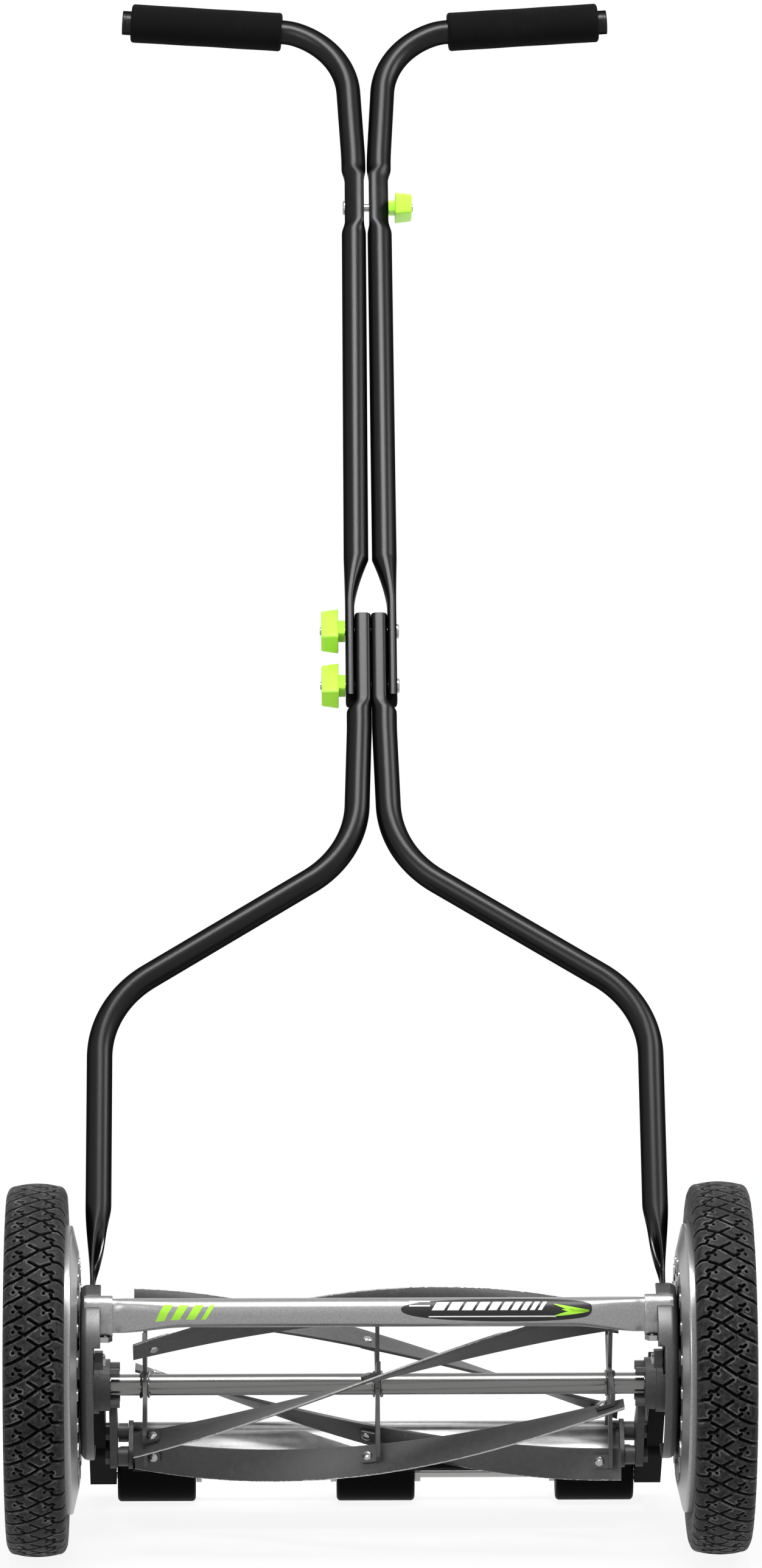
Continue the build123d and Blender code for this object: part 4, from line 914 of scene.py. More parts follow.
class MOWER_OT_cross_tube(bpy.types.Operator):
    """Builds the cross tube, which flares from round to oval at both ends"""

    bl_idname = "mower.cross_tube"
    bl_label = "Cross Tube"

    def execute(self, context):
        flare = np.linspace(BAR_ROUND_TO, BAR_END, BAR_FLARE_ROWS)
        level = np.linspace(-BAR_ROUND_TO, BAR_ROUND_TO, BAR_ROWS)[1:-1]
        x = np.concatenate([-flare[::-1], level, flare])
        turn = np.linspace(0, 2 * np.pi, BAR_COLUMNS, endpoint=False)
        grids = [closed_ends(bar_point(x[:, None], turn[None, :], 0.0))]
        make_piece("cross_tube_flared", grids, "silver_paint", "deck", "silver_paint", ["cross_tube"])
        return {"FINISHED"}


def print_film(x, low, high, lift, lean=0.0):
    """Thin closed film on the cross tube between two lines of angles, its top and then its underside.

    Each end is drawn together onto its middle thickness.
    """
    share = np.linspace(0, 1, PRINT_COLUMNS)
    low = np.broadcast_to(low, x.shape)[:, None]
    high = np.broadcast_to(high, x.shape)[:, None]
    angle = np.radians(low + (high - low) * share)
    place = x[:, None] + lean * (share - 0.5)
    top = bar_point(place, angle, lift + PRINT_THICKNESS)
    under = bar_point(place, angle, lift)
    film = np.concatenate([top, under[:, ::-1]], 1)
    ends = (film + film[:, ::-1]) / 2
    return np.concatenate([ends[:1], film, ends[-1:]])


def lens_print():
    """Black lens along the front of the cross tube, pointed at the left and blunter at the right."""
    share = (1 - np.cos(np.linspace(0, np.pi, LENS_ROWS))) / 2
    swell = LENS_HALF * share**LENS_POINT * (1 - share) ** LENS_BLUNT * LENS_SWELL
    half = np.minimum(swell, LENS_HALF)
    x = LENS_FROM + (LENS_TO - LENS_FROM) * share
    return [print_film(x, LENS_MIDDLE - half, LENS_MIDDLE + half, PRINT_LIFT)]


def dash_prints():
    """Row of slanting pale dashes that shorten to the right, over a thin rule, and two streaks."""
    films = []
    place = DASH_FROM
    for width in DASH_WIDTHS:
        x = np.linspace(place, place + width, PRINT_ROWS)
        films.append(print_film(x, *DASH_BAND, OVERPRINT_LIFT, DASH_LEAN))
        place += width + DASH_GAP
    films.append(print_film(np.linspace(*RULE_SPAN, RULE_ROWS), *RULE_BAND, OVERPRINT_LIFT))
    for band in STREAK_BANDS:
        films.append(print_film(np.linspace(*STREAK_SPAN, STREAK_ROWS), *band, OVERPRINT_LIFT))
    return films


def lime_prints():
    """Three curved grass blades from the lens's right end, and four slanting stripes at the left."""
    films = []
    share = np.linspace(0, 1, GRASS_ROWS)
    rounded = np.clip(GRASS_BLUNT + (1 - GRASS_BLUNT) * share, 0, 1)
    half = GRASS_HALF * np.sin(np.pi * rounded) ** GRASS_FULL
    for reach, bend in GRASS_BLADES:
        middle = GRASS_ANGLE - bend * share**GRASS_CURVE
        films.append(print_film(GRASS_ROOT - reach * share, middle - half, middle + half, OVERPRINT_LIFT))
    for span_across in STRIPE_SPANS:
        x = np.linspace(*span_across, PRINT_ROWS)
        films.append(print_film(x, *STRIPE_BAND, PRINT_LIFT, STRIPE_LEAN))
    return films


class MOWER_OT_prints(bpy.types.Operator):
    """Lays the plain printed strip on the cross tube"""

    bl_idname = "mower.prints"
    bl_label = "Tube Prints"

    def execute(self, context):
        make_piece("print_lens", lens_print(), "print_black", "deck")
        make_piece("print_dashes", dash_prints(), "print_white", "deck")
        make_piece("print_grass", lime_prints(), "print_lime", "deck")
        return {"FINISHED"}


# Reel


def blade_angle(number, x):
    """Angle of a blade round the reel at a station across, in radians from the rear towards the top."""
    share = (x + BLADE_HALF_LENGTH) / (2 * BLADE_HALF_LENGTH)
    return np.radians(BLADE_START_ANGLE + 360 / BLADE_COUNT * number - BLADE_TWIST * share)


def blade_surface(number, rng):
    """Twisted strip: a section of (radius, thickness) turned by the blade's angle at each station.

    The last part of its outer side is ground thinner, and the edge has small nicks.
    """
    thick = BLADE_THICKNESS / 2
    bevel = BLADE_EDGE - thick
    level = np.linspace(BLADE_INNER + BLADE_CHAMFER, BLADE_OUTER - BLADE_GRIND, BLADE_LEVELS)
    radius = np.concatenate([[BLADE_INNER], level, [BLADE_OUTER, BLADE_OUTER], level[::-1], [BLADE_INNER]])
    side = np.full(BLADE_LEVELS, thick)
    foot = thick - BLADE_CHAMFER
    offset = np.concatenate([[-foot], -side, [-thick, bevel], side, [foot]])
    at_edge = (radius == BLADE_OUTER).astype(float)
    x = np.linspace(-BLADE_HALF_LENGTH, BLADE_HALF_LENGTH, BLADE_ROWS)
    nicks = BLADE_NICK * rng.random(BLADE_ROWS) ** 3
    angle = blade_angle(number, x)[:, None]
    far = radius[None, :] - nicks[:, None] * at_edge
    y = REEL_Y + far * np.cos(angle) - offset * np.sin(angle)
    z = REEL_Z + far * np.sin(angle) + offset * np.cos(angle)
    grid = np.stack([np.broadcast_to(x[:, None], y.shape), y, z], -1)
    return closed_ends(grid), np.broadcast_to(at_edge, (BLADE_ROWS + 2, len(at_edge)))


class MOWER_OT_blades(bpy.types.Operator):
    """Builds the five twisted reel blades with their ground edges"""

    bl_idname = "mower.blades"
    bl_label = "Reel Blades"

    def execute(self, context):
        rng = np.random.default_rng(NICK_SEED)
        for number in range(BLADE_COUNT):
            surface, edge = blade_surface(number, rng)
            name = f"blade_{number + 1}"
            marks = {"edge": edge}
            make_piece(f"reel_{name}", [surface], "blade_steel", "reel", "dark_steel", [name], marks)
        return {"FINISHED"}


def rivet_frames():
    """Every blade rivet's middle, the two directions square to its shank and the one along it."""
    number, station = np.meshgrid(np.arange(BLADE_COUNT), np.array(SPIDER_STATIONS), indexing="ij")
    number, station = number.ravel(), station.ravel()
    inward = np.where(station < 0, 1, -1)
    x = station + inward * (SPIDER_THICKNESS + TAB_REACH) / 2
    angle = blade_angle(number, x)
    nought = np.zeros_like(angle)
    radial = np.stack([nought, np.cos(angle), np.sin(angle)], -1)
    across = np.stack([nought, -np.sin(angle), np.cos(angle)], -1)
    slope = -RIVET_CIRCLE * math.radians(BLADE_TWIST) / (2 * BLADE_HALF_LENGTH)
    along = across - np.array([slope, 0, 0])
    along /= np.linalg.norm(along, axis=1, keepdims=True)
    middle = np.stack([x, np.full_like(x, REEL_Y), np.full_like(x, REEL_Z)], -1) + RIVET_CIRCLE * radial
    return middle, radial, np.cross(along, radial), along


def rivet_surfaces():
    """Domed heads on a shank: one outline turned about each rivet's own axis."""
    face = BLADE_THICKNESS / 2
    rise = np.linspace(0, np.pi / 2, RIVET_DOME_STEPS)
    front = np.stack([face + RIVET_DOME * np.cos(rise), RIVET_HEAD * np.sin(rise)], -1)
    rear = np.stack([-TAB_BEHIND - RIVET_DOME * np.cos(rise[::-1]), RIVET_HEAD * np.sin(rise[::-1])], -1)
    shank = np.array([(face, RIVET_SHANK), (-TAB_BEHIND, RIVET_SHANK)])
    outline = revolved(np.concatenate([front, shank, rear]), RIVET_COLUMNS)
    middle, radial, third, along = rivet_frames()
    axes = np.stack([along, radial, third], 1)
    return list(middle[:, None, None, :] + np.einsum("rcj,njk->nrck", outline, axes))


def weld_surfaces(rng):
    """Lumpy weld fillets: rings of wandering thickness round the shaft, on both sides of each spider."""
    rings = []
    turn = np.linspace(0, 2 * np.pi, WELD_ROWS, endpoint=False)
    round_bead = np.linspace(0, 2 * np.pi, WELD_COLUMNS, endpoint=False)
    for station in SPIDER_STATIONS:
        for side in (-1, 1):
            lumps = sum(
                rng.uniform(*WELD_LUMPS) * np.cos(turn * wave + rng.uniform(*WELD_PHASES))
                for wave in WELD_WAVES
            )
            size = np.clip(WELD_SIZE + lumps, WELD_LEAST, WELD_MOST)[:, None]
            radius = SHAFT_RADIUS + WELD_STAND + size * np.cos(round_bead)
            reach = WELD_GAP + size * (1 + np.sin(round_bead)) / 2 * WELD_REACH
            x = station + side * (SPIDER_THICKNESS / 2 + reach)
            y = REEL_Y + radius * np.cos(turn)[:, None]
            z = REEL_Z + radius * np.sin(turn)[:, None]
            rings.append(np.stack([x, y, z], -1))
    return rings


class MOWER_OT_reel_details(bpy.types.Operator):
    """Builds the domed blade rivets and the welds of the spiders"""

    bl_idname = "mower.reel_details"
    bl_label = "Rivets and Welds"

    def execute(self, context):
        steel = "bright_steel"
        make_piece("blade_rivets_domed", rivet_surfaces(), steel, "reel", steel, ["blade_rivets"])
        welds = weld_surfaces(np.random.default_rng(WELD_SEED))
        make_piece("spider_welds", welds, "weld_steel", "reel", "dark_steel", ring_rows=True)
        return {"FINISHED"}


# Shader helpers


def set_inputs(tree, node, inputs):
    """Links a node's inputs to sockets or sets them to values."""
    for name, value in inputs.items():
        if isinstance(value, bpy.types.NodeSocket):
            tree.links.new(value, node.inputs[name])
        else:
            node.inputs[name].default_value = value


def add_node(tree, kind, inputs=None, **settings):
    """Adds a shader node, sets its options, and sets or links its inputs."""
    node = tree.nodes.new("ShaderNode" + kind)
    for name, value in settings.items():
        setattr(node, name, value)
    set_inputs(tree, node, inputs or {})
    return node


def maths(tree, operation, first, second=0.0):
    """Result of one operation on two values."""
    return add_node(tree, "Math", {0: first, 1: second}, operation=operation).outputs[0]


def scaled(tree, value, factor, base=0.0):
    """Value times a factor, added to a base."""
    return maths(tree, "ADD", maths(tree, "MULTIPLY", value, factor), base)


def eased(tree, value, low, high, to_low=0.0, to_high=1.0):
    """Value mapped smoothly from one range to another."""
    inputs = {"Value": value, "From Min": low, "From Max": high, "To Min": to_low, "To Max": to_high}
    return add_node(tree, "MapRange", inputs, interpolation_type="SMOOTHSTEP").outputs["Result"]


def mixed(tree, share, first, second):
    """Colour between two colours."""
    return add_node(tree, "Mix", {0: share, 6: first, 7: second}, data_type="RGBA").outputs[2]


def shade(colour, factor=1.0):
    """A setting's colour made lighter or darker, with full cover."""
    return (colour[0] * factor, colour[1] * factor, colour[2] * factor, 1.0)


def tones(tree, share, colour, low, high):
    """Colour between two shades of one colour."""
    return mixed(tree, share, shade(colour, low), shade(colour, high))


def over(tree, under, mask, cover, colour):
    """Colour laid over another by a mask, no more than its cover."""
    return mixed(tree, scaled(tree, mask, cover), under, colour)


def object_place(tree):
    """Place of each point in its object."""
    return add_node(tree, "TexCoord").outputs["Object"]


def noise(tree, place, **inputs):
    """Noise at a place."""
    return add_node(tree, "TexNoise", {"Vector": place, **inputs}).outputs["Fac"]


def mark(tree, name):
    """A mesh's mark at each point."""
    return add_node(tree, "Attribute", attribute_name=name).outputs["Fac"]


def bumped(tree, height, strength, distance):
    """Normal from a height."""
    inputs = {"Height": height, "Strength": strength, "Distance": distance}
    return add_node(tree, "Bump", inputs).outputs["Normal"]


def new_group(name, inputs, output):
    """Empty shader group of values; gives the group, its inputs by name and its one output."""
    group = bpy.data.node_groups.new(name, "ShaderNodeTree")
    for label, value in inputs.items():
        socket = group.interface.new_socket(label, in_out="INPUT", socket_type="NodeSocketFloat")
        socket.default_value = value
    group.interface.new_socket(output, in_out="OUTPUT", socket_type="NodeSocketFloat")
    given = group.nodes.new("NodeGroupInput")
    result = group.nodes.new("NodeGroupOutput")
    return group, given.outputs, result.inputs[output]


def grain_group():
    """Fine even grain: one noise of a given size and detail."""
    group, given, result = new_group("Grain", {"Scale": 800.0, "Detail": 3.0}, "Height")
    grain = noise(group, object_place(group), Scale=given["Scale"], Detail=given["Detail"], Roughness=0.6)
    group.links.new(grain, result)


def smudge_group():
    """Broad soft patches, as of handling and dust: low noise cut to a share of the surface."""
    group, given, result = new_group("Smudges", {"Scale": 14.0, "Cover": 0.5}, "Mask")
    uneven = {"Detail": 6.0, "Roughness": 0.65, "Distortion": 0.4}
    patch = noise(group, object_place(group), Scale=given["Scale"], **uneven)
    low = scaled(group, given["Cover"], -0.5, 0.85)
    group.links.new(eased(group, patch, low, maths(group, "ADD", low, 0.25)), result)


def scuff_group():
    """Fine scratches: noise drawn out along each of two crossing directions, cut to thin lines."""
    group, given, result = new_group("Scuffs", {"Scale": 60.0, "Cover": 0.3}, "Mask")
    place = object_place(group)
    low = scaled(group, given["Cover"], -0.3, 0.78)
    high = maths(group, "ADD", low, 0.06)
    masks = []
    for turn, stretch in (((0.3, 0.5, 0.9), (0.06, 1.0, 1.0)), ((1.1, 0.2, -0.6), (1.0, 1.0, 0.05))):
        drawn = add_node(group, "Mapping", {"Vector": place, "Rotation": turn, "Scale": stretch})
        line = noise(group, drawn.outputs[0], Scale=given["Scale"], Detail=5.0, Roughness=0.7)
        masks.append(eased(group, line, low, high))
    group.links.new(maths(group, "MAXIMUM", *masks), result)


def flake_group():
    """Small crystals, each with its own brightness."""
    group, given, result = new_group("Flakes", {"Scale": 900.0}, "Value")
    inputs = {"Vector": object_place(group), "Scale": given["Scale"]}
    cells = add_node(group, "TexVoronoi", inputs, feature="F1").outputs["Color"]
    group.links.new(add_node(group, "SeparateColor", {"Color": cells}).outputs[0], result)


GROUP_MAKERS = {"Grain": grain_group, "Smudges": smudge_group, "Scuffs": scuff_group, "Flakes": flake_group}


def effect(tree, name, **inputs):
    """Places a shared effect in a material with its own values and gives its result."""
    if name not in bpy.data.node_groups:
        GROUP_MAKERS[name]()
    return add_node(tree, "Group", node_tree=bpy.data.node_groups[name], inputs=inputs).outputs[0]


SHADER_SOCKETS = {
    "colour": "Base Color",
    "roughness": "Roughness",
    "normal": "Normal",
    "metal": "Metallic",
    "specular": "Specular IOR Level",
    "tint": "Specular Tint",
}


def feed(tree, **inputs):
    """Sets or links the sockets of a material's surface shader."""
    labelled = {SHADER_SOCKETS[name]: value for name, value in inputs.items()}
    set_inputs(tree, tree.nodes["Principled BSDF"], labelled)


def follow(tree, grain, low, high):
    """Value from low to high as a grain goes from its darker to its paler parts."""
    return eased(tree, grain, 0.2, 0.8, low, high)


# Finishes: each feeds the surface shader of a new material


def black_paint(tree, colours):
    """Satin black powder coat, dark at its edges, with a fine orange peel, pale rubs and a painted
    highlight along the fold lips, coloured as bare steel.
    """
    smudge = effect(tree, "Smudges", Scale=18.0, Cover=0.5)
    scuff = effect(tree, "Scuffs", Scale=70.0, Cover=0.2)
    peel = effect(tree, "Grain", Scale=700.0, Detail=2.0)
    dusty = tones(tree, smudge, colours.paint, 1.0, 1.25)
    rubbed = over(tree, dusty, scuff, 0.3, shade(colours.paint, 2.5))
    # Painted highlight: the fold lips are coloured bright steel to stand for the light they catch
    bare = eased(tree, mark(tree, "crease"), 0.62, 0.95)
    colour = mixed(tree, bare, rubbed, shade(colours.steel, 1.2))
    rough = scaled(tree, smudge, 0.1, 0.32)
    satin = {"metal": 0.92, "specular": 0.1, "tint": (0.15, 0.15, 0.15, 1.0)}
    feed(tree, colour=colour, roughness=rough, normal=bumped(tree, peel, 0.12, 0.0004), **satin)


def flaked_silver(tree, silver, smoothest):
    """Silver paint: a metal base with fine flakes, softened by rubs and dull patches."""
    flake = effect(tree, "Flakes", Scale=1500.0)
    smudge = effect(tree, "Smudges", Scale=12.0, Cover=0.55)
    scuff = effect(tree, "Scuffs", Scale=45.0, Cover=0.3)
    grain = effect(tree, "Grain", Scale=1400.0, Detail=2.0)
    flaked = tones(tree, flake, silver, 0.88, 1.14)
    dull = over(tree, flaked, smudge, 0.6, shade(silver, 0.72))
    colour = over(tree, dull, scuff, 0.3, shade(silver, 0.45))
    rough = scaled(tree, smudge, 0.14, smoothest)
    feed(tree, colour=colour, roughness=rough, normal=bumped(tree, grain, 0.08, 0.0002), metal=0.82)


def silver_paint(tree, colours):
    """Silver paint of the rims, the wheel covers and the cross tube."""
    flaked_silver(tree, colours.silver, 0.3)


def plate_silver(tree, colours):
    """Darker, duller silver of the pressed side plates."""
    flaked_silver(tree, shade(colours.silver, 0.28), 0.42)


def zinc_steel(tree, colours):
    """Plated sheet with a spangle of crystals and dull stains, darkened towards the cutter bar's ends as
    painted shade at the ears.
    """
    spangle = effect(tree, "Flakes", Scale=260.0)
    stain = effect(tree, "Smudges", Scale=30.0, Cover=0.7)
    grain = effect(tree, "Grain", Scale=500.0, Detail=4.0)
    crystals = tones(tree, spangle, colours.zinc, 0.92, 1.06)
    stained = over(tree, crystals, stain, 0.45, shade(colours.zinc, 0.6))
    # Painted shade: the cutter bar's ends are coloured near black and made rougher, which also hides the
    # lamp's reflection on the ears
    across = add_node(tree, "SeparateXYZ", {"Vector": object_place(tree)}).outputs["X"]
    ends = eased(tree, maths(tree, "ABSOLUTE", across), CUTTER_SHADE_FROM * MM, CUTTER_SHADE_TO * MM)
    colour = mixed(tree, ends, stained, shade(colours.zinc, 0.1))
    rough = scaled(tree, spangle, 0.08, eased(tree, ends, 0.0, 1.0, 0.42, 0.5))
    feed(tree, colour=colour, roughness=rough, normal=bumped(tree, grain, 0.15, 0.0003), metal=0.9)


def bright_steel(tree, colours):
    """Drawn bare steel with fine lines and small dark rubs."""
    scuff = effect(tree, "Scuffs", Scale=110.0, Cover=0.45)
    smudge = effect(tree, "Smudges", Scale=40.0, Cover=0.5)
    rubbed = over(tree, shade(colours.steel), smudge, 0.5, shade(colours.steel, 0.55))
    colour = over(tree, rubbed, scuff, 0.5, shade(colours.steel, 0.5))
    rough = scaled(tree, scuff, 0.2, 0.24)
    feed(tree, colour=colour, roughness=rough, normal=bumped(tree, scuff, 0.1, 0.0002), metal=0.95)


def shaft_steel(tree, colours):
    """Ground shaft: darker and smoother than the bare steel, with fine rubs."""
    scuff = effect(tree, "Scuffs", Scale=110.0, Cover=0.35)
    smudge = effect(tree, "Smudges", Scale=40.0, Cover=0.4)
    rubbed = over(tree, shade(colours.steel, 0.5), smudge, 0.5, shade(colours.steel, 0.34))
    colour = over(tree, rubbed, scuff, 0.4, shade(colours.steel, 0.35))
    rough = scaled(tree, scuff, 0.12, 0.24)
    feed(tree, colour=colour, roughness=rough, normal=bumped(tree, scuff, 0.08, 0.0002), metal=1.0)


def rolled_surface(tree, colours):
    """Colour, roughness and normal of rolled steel: broad patches, fine mottle and scratches."""
    smudge = effect(tree, "Smudges", Scale=22.0, Cover=0.7)
    scuff = effect(tree, "Scuffs", Scale=55.0, Cover=0.4)
    mottle = effect(tree, "Grain", Scale=260.0, Detail=5.0)
    mottled = tones(tree, mottle, colours.blade, 0.7, 1.35)
    patched = over(tree, mottled, smudge, 0.6, shade(colours.blade, 1.5))
    colour = over(tree, patched, scuff, 0.4, shade(colours.blade, 2.4))
    rough = scaled(tree, mottle, 0.2, 0.36)
    return {"colour": colour, "roughness": rough, "normal": bumped(tree, mottle, 0.12, 0.0003)}


def dark_steel(tree, colours):
    """Dark rolled steel with mill marks."""
    feed(tree, **rolled_surface(tree, colours), metal=0.3, specular=0.4)


def blade_steel(tree, colours):
    """Rolled steel whose ground edge is bright, with a ragged border of grinding marks."""
    base = rolled_surface(tree, colours)
    ragged = effect(tree, "Grain", Scale=330.0, Detail=4.0)
    wander = scaled(tree, maths(tree, "SUBTRACT", ragged, 0.5), 0.9)
    ground = eased(tree, maths(tree, "ADD", mark(tree, "edge"), wander), 0.78, 0.95)
    base["colour"] = mixed(tree, ground, base["colour"], shade(colours.steel, 1.15))
    feed(tree, **base, metal=eased(tree, ground, 0.0, 1.0, 0.25, 0.85), specular=0.4)


def weld_steel(tree, colours):
    """Weld metal: bright beads with burnt patches."""
    burnt = effect(tree, "Smudges", Scale=90.0, Cover=0.8)
    grain = effect(tree, "Grain", Scale=600.0, Detail=3.0)
    colour = mixed(tree, burnt, shade(colours.steel, 0.8), shade(colours.blade, 0.8))
    rough = follow(tree, grain, 0.25, 0.5)
    feed(tree, colour=colour, roughness=rough, normal=bumped(tree, grain, 0.4, 0.0005), metal=0.8)


def cast_grey(tree, colours):
    """Grey casting with a sandy skin and worn high spots."""
    sand = effect(tree, "Grain", Scale=900.0, Detail=5.0)
    smudge = effect(tree, "Smudges", Scale=50.0, Cover=0.6)
    sandy = tones(tree, sand, colours.cast, 0.65, 1.3)
    colour = over(tree, sandy, smudge, 0.6, shade(colours.cast, 1.7))
    skin = {"roughness": follow(tree, sand, 0.42, 0.62), "normal": bumped(tree, sand, 0.35, 0.0005)}
    feed(tree, colour=colour, **skin, metal=0.3, specular=0.25)


def bronze(tree, colours):
    """Sintered bronze: small pores and a dull film."""
    pores = effect(tree, "Grain", Scale=1500.0, Detail=2.0)
    colour = tones(tree, pores, colours.bronze, 0.7, 1.2)
    rough = follow(tree, pores, 0.3, 0.5)
    feed(tree, colour=colour, roughness=rough, normal=bumped(tree, pores, 0.2, 0.0002), metal=0.9)


def lime_plastic(tree, colours):
    """Bright moulded plastic with a slight mottle and a satin skin."""
    mottle = effect(tree, "Smudges", Scale=60.0, Cover=0.6)
    skin = effect(tree, "Grain", Scale=1100.0, Detail=2.0)
    colour = tones(tree, mottle, colours.lime, 1.0, 0.93)
    rough = follow(tree, skin, 0.34, 0.46)
    feed(tree, colour=colour, roughness=rough, normal=bumped(tree, skin, 0.1, 0.0002), specular=0.45)


def foam(tree, colours):
    """Closed-cell foam: a dull skin of tiny pits."""
    pits = effect(tree, "Grain", Scale=1300.0, Detail=4.0)
    wear = effect(tree, "Smudges", Scale=26.0, Cover=0.7)
    pitted = tones(tree, pits, colours.foam, 0.5, 1.6)
    colour = over(tree, pitted, wear, 0.6, shade(colours.foam, 1.9))
    rough = follow(tree, pits, 0.78, 0.95)
    feed(tree, colour=colour, roughness=rough, normal=bumped(tree, pits, 0.5, 0.0005), specular=0.06)


def tyre_rubber(tree, colours):
    """Mottled rubber: rubbed pale in patches along the edges of the grooves, as wear and a painted
    highlight, and dark down in them as painted shade.
    """
    rubs = effect(tree, "Smudges", Scale=110.0, Cover=0.85)
    skin = effect(tree, "Grain", Scale=300.0, Detail=6.0)
    patch = eased(tree, skin, 0.36, 0.64)
    mottled = tones(tree, patch, colours.rubber, 0.35, 1.3)
    # Wear with a painted highlight: pale patches in the band along the groove edges stand for wear and for
    # the light those edges catch
    worn = maths(tree, "MULTIPLY", mark(tree, "wear"), eased(tree, rubs, 0.0, 1.0, 0.1, 1.0))
    rubbed = mixed(tree, worn, mottled, shade(colours.rubber, 6.0))
    # Painted shade: the grooves are coloured near black for the shade down in them
    painted_groove_shade = eased(tree, mark(tree, "groove"), 0.04, 0.5)
    colour = mixed(tree, painted_groove_shade, rubbed, shade(colours.rubber, 0.06))
    rough = eased(tree, patch, 0.0, 1.0, 0.4, 0.66)
    feed(tree, colour=colour, roughness=rough, normal=bumped(tree, skin, 0.6, 0.0008), specular=0.1)


def black_plastic(tree, colours):
    """Moulded black plastic with a fine skin and pale rubs."""
    skin = effect(tree, "Grain", Scale=800.0, Detail=3.0)
    scuff = effect(tree, "Scuffs", Scale=50.0, Cover=0.25)
    mottled = tones(tree, skin, colours.plastic, 0.7, 1.3)
    colour = over(tree, mottled, scuff, 0.4, shade(colours.plastic, 4.0))
    rough = follow(tree, skin, 0.42, 0.58)
    feed(tree, colour=colour, roughness=rough, normal=bumped(tree, skin, 0.15, 0.0003), specular=0.04)


def ink(tree, colour):
    """Printed film: even colour, thin in tiny spots, with a satin skin."""
    spots = effect(tree, "Grain", Scale=1800.0, Detail=2.0)
    tone = tones(tree, spots, colour, 0.9, 1.08)
    feed(tree, colour=tone, roughness=follow(tree, spots, 0.36, 0.48), specular=0.4)


def print_black(tree, colours):
    """Black ink of the printed lens."""
    ink(tree, colours.plastic)


def print_white(tree, colours):
    """Pale ink of the dashes, streaks and rule."""
    ink(tree, colours.print_white)


def print_lime(tree, colours):
    """Lime ink of the stripes and grass blades."""
    ink(tree, colours.lime)


FINISH_MAKERS = (
    *(black_paint, silver_paint, plate_silver, zinc_steel, bright_steel, shaft_steel, dark_steel),
    *(blade_steel, weld_steel, cast_grey, bronze, lime_plastic, foam, tyre_rubber, black_plastic),
    *(print_black, print_white, print_lime),
)

# Materials made so far, by finish
MADE_FINISHES = {}


def finish(name):
    """The finish of that name, made the first time it is asked for."""
    if name not in bpy.data.materials or name not in MADE_FINISHES:
        maker = {maker.__name__: maker for maker in FINISH_MAKERS}[name]
        material = bpy.data.materials.new(name)
        material.use_nodes = True
        maker(material.node_tree, bpy.context.scene.mower_colours)
        MADE_FINISHES[name] = material
    return MADE_FINISHES[name]


def soften_edges(node, width):
    """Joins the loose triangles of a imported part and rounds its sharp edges."""
    weld = node.modifiers.new("join", "WELD")
    weld.merge_threshold = JOIN_GAP * MM
    bevel = node.modifiers.new("round", "BEVEL")
    bevel.width = width * MM
    bevel.segments = EDGE_SEGMENTS
    bevel.limit_method = "ANGLE"
    bevel.angle_limit = math.radians(EDGE_ANGLE)
    bevel.harden_normals = True


class MOWER_OT_node_finishes(bpy.types.Operator):
    """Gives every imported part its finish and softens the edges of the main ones"""

    bl_idname = "mower.node_finishes"
    bl_label = "Part Finishes"

    def execute(self, context):
        for name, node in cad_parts.items():
            if node.hide_render:
                continue
            found = [f for f, starts in NODE_FINISHES.items() if name.startswith(starts)]
            if not found:
                raise RuntimeError(f"no finish is set for {name}")
            node.data.materials.clear()
            node.data.materials.append(finish(found[0]))
            widths = [w for start, w in EDGE_ROUNDING.items() if name.startswith(start)]
            if widths:
                soften_edges(node, widths[0])
        return {"FINISHED"}


# Stage

CAMERA_PLACE = (-0.0872, -6.0169, 1.6286)
CAMERA_TURN = (80.0, 0.0, -0.85)
CAMERA_REACH = 100.0
FOCAL_LENGTH = 195.2
SENSOR = 36.0
FLOOR_HALF = 30.0
FLOOR_POINTS = 3
FLOOR_TONE = (0.8, 0.8, 0.8, 1.0)
FLOOR_DUST = (0.79, 0.79, 0.79, 1.0)
FLOOR_SHADOW_SHARE = 0.4
WHITE = (1.0, 1.0, 1.0, 1.0)

# Lamps by the name of their power: place, point that they aim at, and size
LAMPS = {
    "key": ((-1.9, -3.0, 2.3), (0.0, 0.1, 0.45), (1.6, 1.6)),
    "top": ((0.0, -0.35, 3.3), (0.0, 0.35, 0.5), (1.3, 0.9)),
    "fill": ((1.9, 0.2, 2.1), (0.0, 0.3, 0.6), (0.9, 0.9)),
}


def area_light(name, place, aim, size, watts):
    """Rectangular soft light at a place, aimed at a point."""
    data = bpy.data.lights.new(name, "AREA")
    data.shape = "RECTANGLE"
    data.size, data.size_y = size
    data.energy = watts
    lamp = add_object(name, data)
    lamp.location = place
    way = np.array(aim) - np.array(place)
    flat = math.hypot(way[0], way[1])
    lamp.rotation_euler = (math.atan2(flat, -way[2]), 0, math.atan2(-way[0], way[1]))


def seen_directly(tree):
    """1 for rays from the camera, mirrors and glass, 0 for the light that falls on the object."""
    path = add_node(tree, "LightPath").outputs
    straight = maths(tree, "MAXIMUM", path["Is Camera Ray"], path["Is Glossy Ray"])
    return maths(tree, "MAXIMUM", straight, path["Is Transmission Ray"])


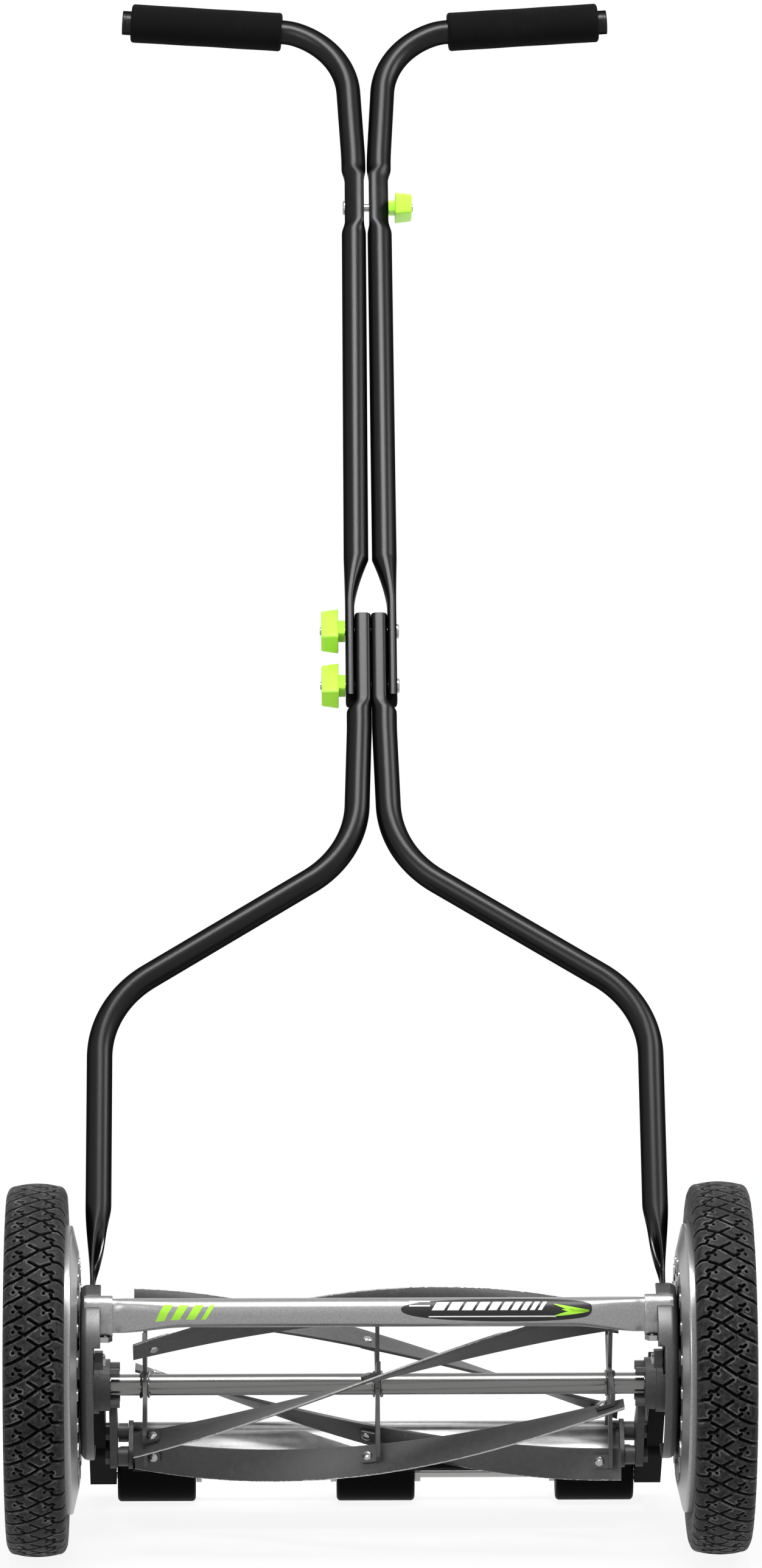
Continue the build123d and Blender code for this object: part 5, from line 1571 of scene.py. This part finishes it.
def floor_material(settings):
    """White floor that shows a share of the shadow to the camera, and none further out."""
    material = bpy.data.materials.new("floor")
    material.use_nodes = True
    tree = material.node_tree
    tree.nodes.clear()
    dust = effect(tree, "Smudges", Scale=3.0, Cover=0.5)
    matt = add_node(tree, "BsdfDiffuse", {"Color": mixed(tree, dust, FLOOR_TONE, FLOOR_DUST)}).outputs[0]
    white = add_node(tree, "Emission", {"Color": WHITE, "Strength": 1.0}).outputs[0]
    away = add_node(tree, "VectorMath", {0: object_place(tree)}, operation="LENGTH").outputs["Value"]
    near = FLOOR_SHADOW_SHARE * settings.floor_clear
    plain = eased(tree, away, near, settings.floor_clear, 1 - settings.floor_shadow, 1.0)
    share = maths(tree, "MULTIPLY", seen_directly(tree), plain)
    both = add_node(tree, "MixShader", {0: share, 1: matt, 2: white}).outputs[0]
    add_node(tree, "OutputMaterial", {"Surface": both})
    return material


def add_floor(settings):
    """Level square under the object."""
    side = np.linspace(-FLOOR_HALF, FLOOR_HALF, FLOOR_POINTS)
    x, y = np.meshgrid(side, side, indexing="ij")
    points = np.stack([x, y, np.zeros_like(x)], -1).reshape(-1, 3)
    mesh = bpy.data.meshes.new("floor")
    faces = grid_faces(FLOOR_POINTS, FLOOR_POINTS, False, False)
    mesh.from_pydata(points.tolist(), [], faces.tolist())
    mesh.materials.append(floor_material(settings))
    floor = add_object("floor", mesh)


def studio_world(settings):
    """White surround for the camera and mirrors, dimmer for the light on the object."""
    world = bpy.data.worlds.new("studio")
    world.use_nodes = True
    tree = world.node_tree
    strength = eased(tree, seen_directly(tree), 0.0, 1.0, settings.world, 1.0)
    set_inputs(tree, tree.nodes["Background"], {"Color": WHITE, "Strength": strength})
    return world


def add_camera(scene):
    """Camera well in front of the mower and a little above it."""
    data = bpy.data.cameras.new("camera")
    data.sensor_fit = "AUTO"
    data.sensor_width = SENSOR
    data.lens = FOCAL_LENGTH
    data.clip_end = CAMERA_REACH
    camera = add_object("camera", data)
    camera.location = CAMERA_PLACE
    camera.rotation_euler = [math.radians(angle) for angle in CAMERA_TURN]
    scene.camera = camera


class MOWER_OT_stage(bpy.types.Operator):
    """Sets the floor, the lights, the surround and the camera"""

    bl_idname = "mower.stage"
    bl_label = "Studio Stage"

    def execute(self, context):
        settings = context.scene.mower_stage
        add_floor(settings)
        for name, (place, aim, size) in LAMPS.items():
            area_light(name, place, aim, size, getattr(settings, name))
        context.scene.world = studio_world(settings)
        add_camera(context.scene)
        context.scene.view_settings.view_transform = "Standard"
        return {"FINISHED"}


class MOWER_PT_panel(bpy.types.Panel):
    """Lists the mower's builders"""

    bl_idname = "MOWER_PT_panel"
    bl_label = "Push Reel Mower"
    bl_space_type = "VIEW_3D"
    bl_region_type = "UI"
    bl_category = "Mower"

    def draw(self, context):
        for operator in OPERATORS:
            self.layout.operator(operator.bl_idname)


OPERATORS = (
    MOWER_OT_tyres,
    MOWER_OT_handle_tubes,
    MOWER_OT_grips,
    MOWER_OT_knobs,
    MOWER_OT_cross_tube,
    MOWER_OT_prints,
    MOWER_OT_blades,
    MOWER_OT_reel_details,
    MOWER_OT_node_finishes,
    MOWER_OT_stage,
)
SETTINGS = {
    "mower_tyre": TyreSettings,
    "mower_handle": HandleSettings,
    "mower_colours": ColourSettings,
    "mower_stage": StageSettings,
}


def register():
    for name, group in SETTINGS.items():
        bpy.utils.register_class(group)
        setattr(bpy.types.Scene, name, PointerProperty(type=group))
    for kind in (*OPERATORS, MOWER_PT_panel):
        bpy.utils.register_class(kind)


def unregister():
    for kind in reversed((*OPERATORS, MOWER_PT_panel)):
        bpy.utils.unregister_class(kind)
    for name, group in SETTINGS.items():
        delattr(bpy.types.Scene, name)
        bpy.utils.unregister_class(group)


def main():
    """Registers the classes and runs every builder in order."""
    register()
    for operator in OPERATORS:
        group, name = operator.bl_idname.split(".")
        getattr(getattr(bpy.ops, group), name)()


if __name__ == "__main__":
    main()
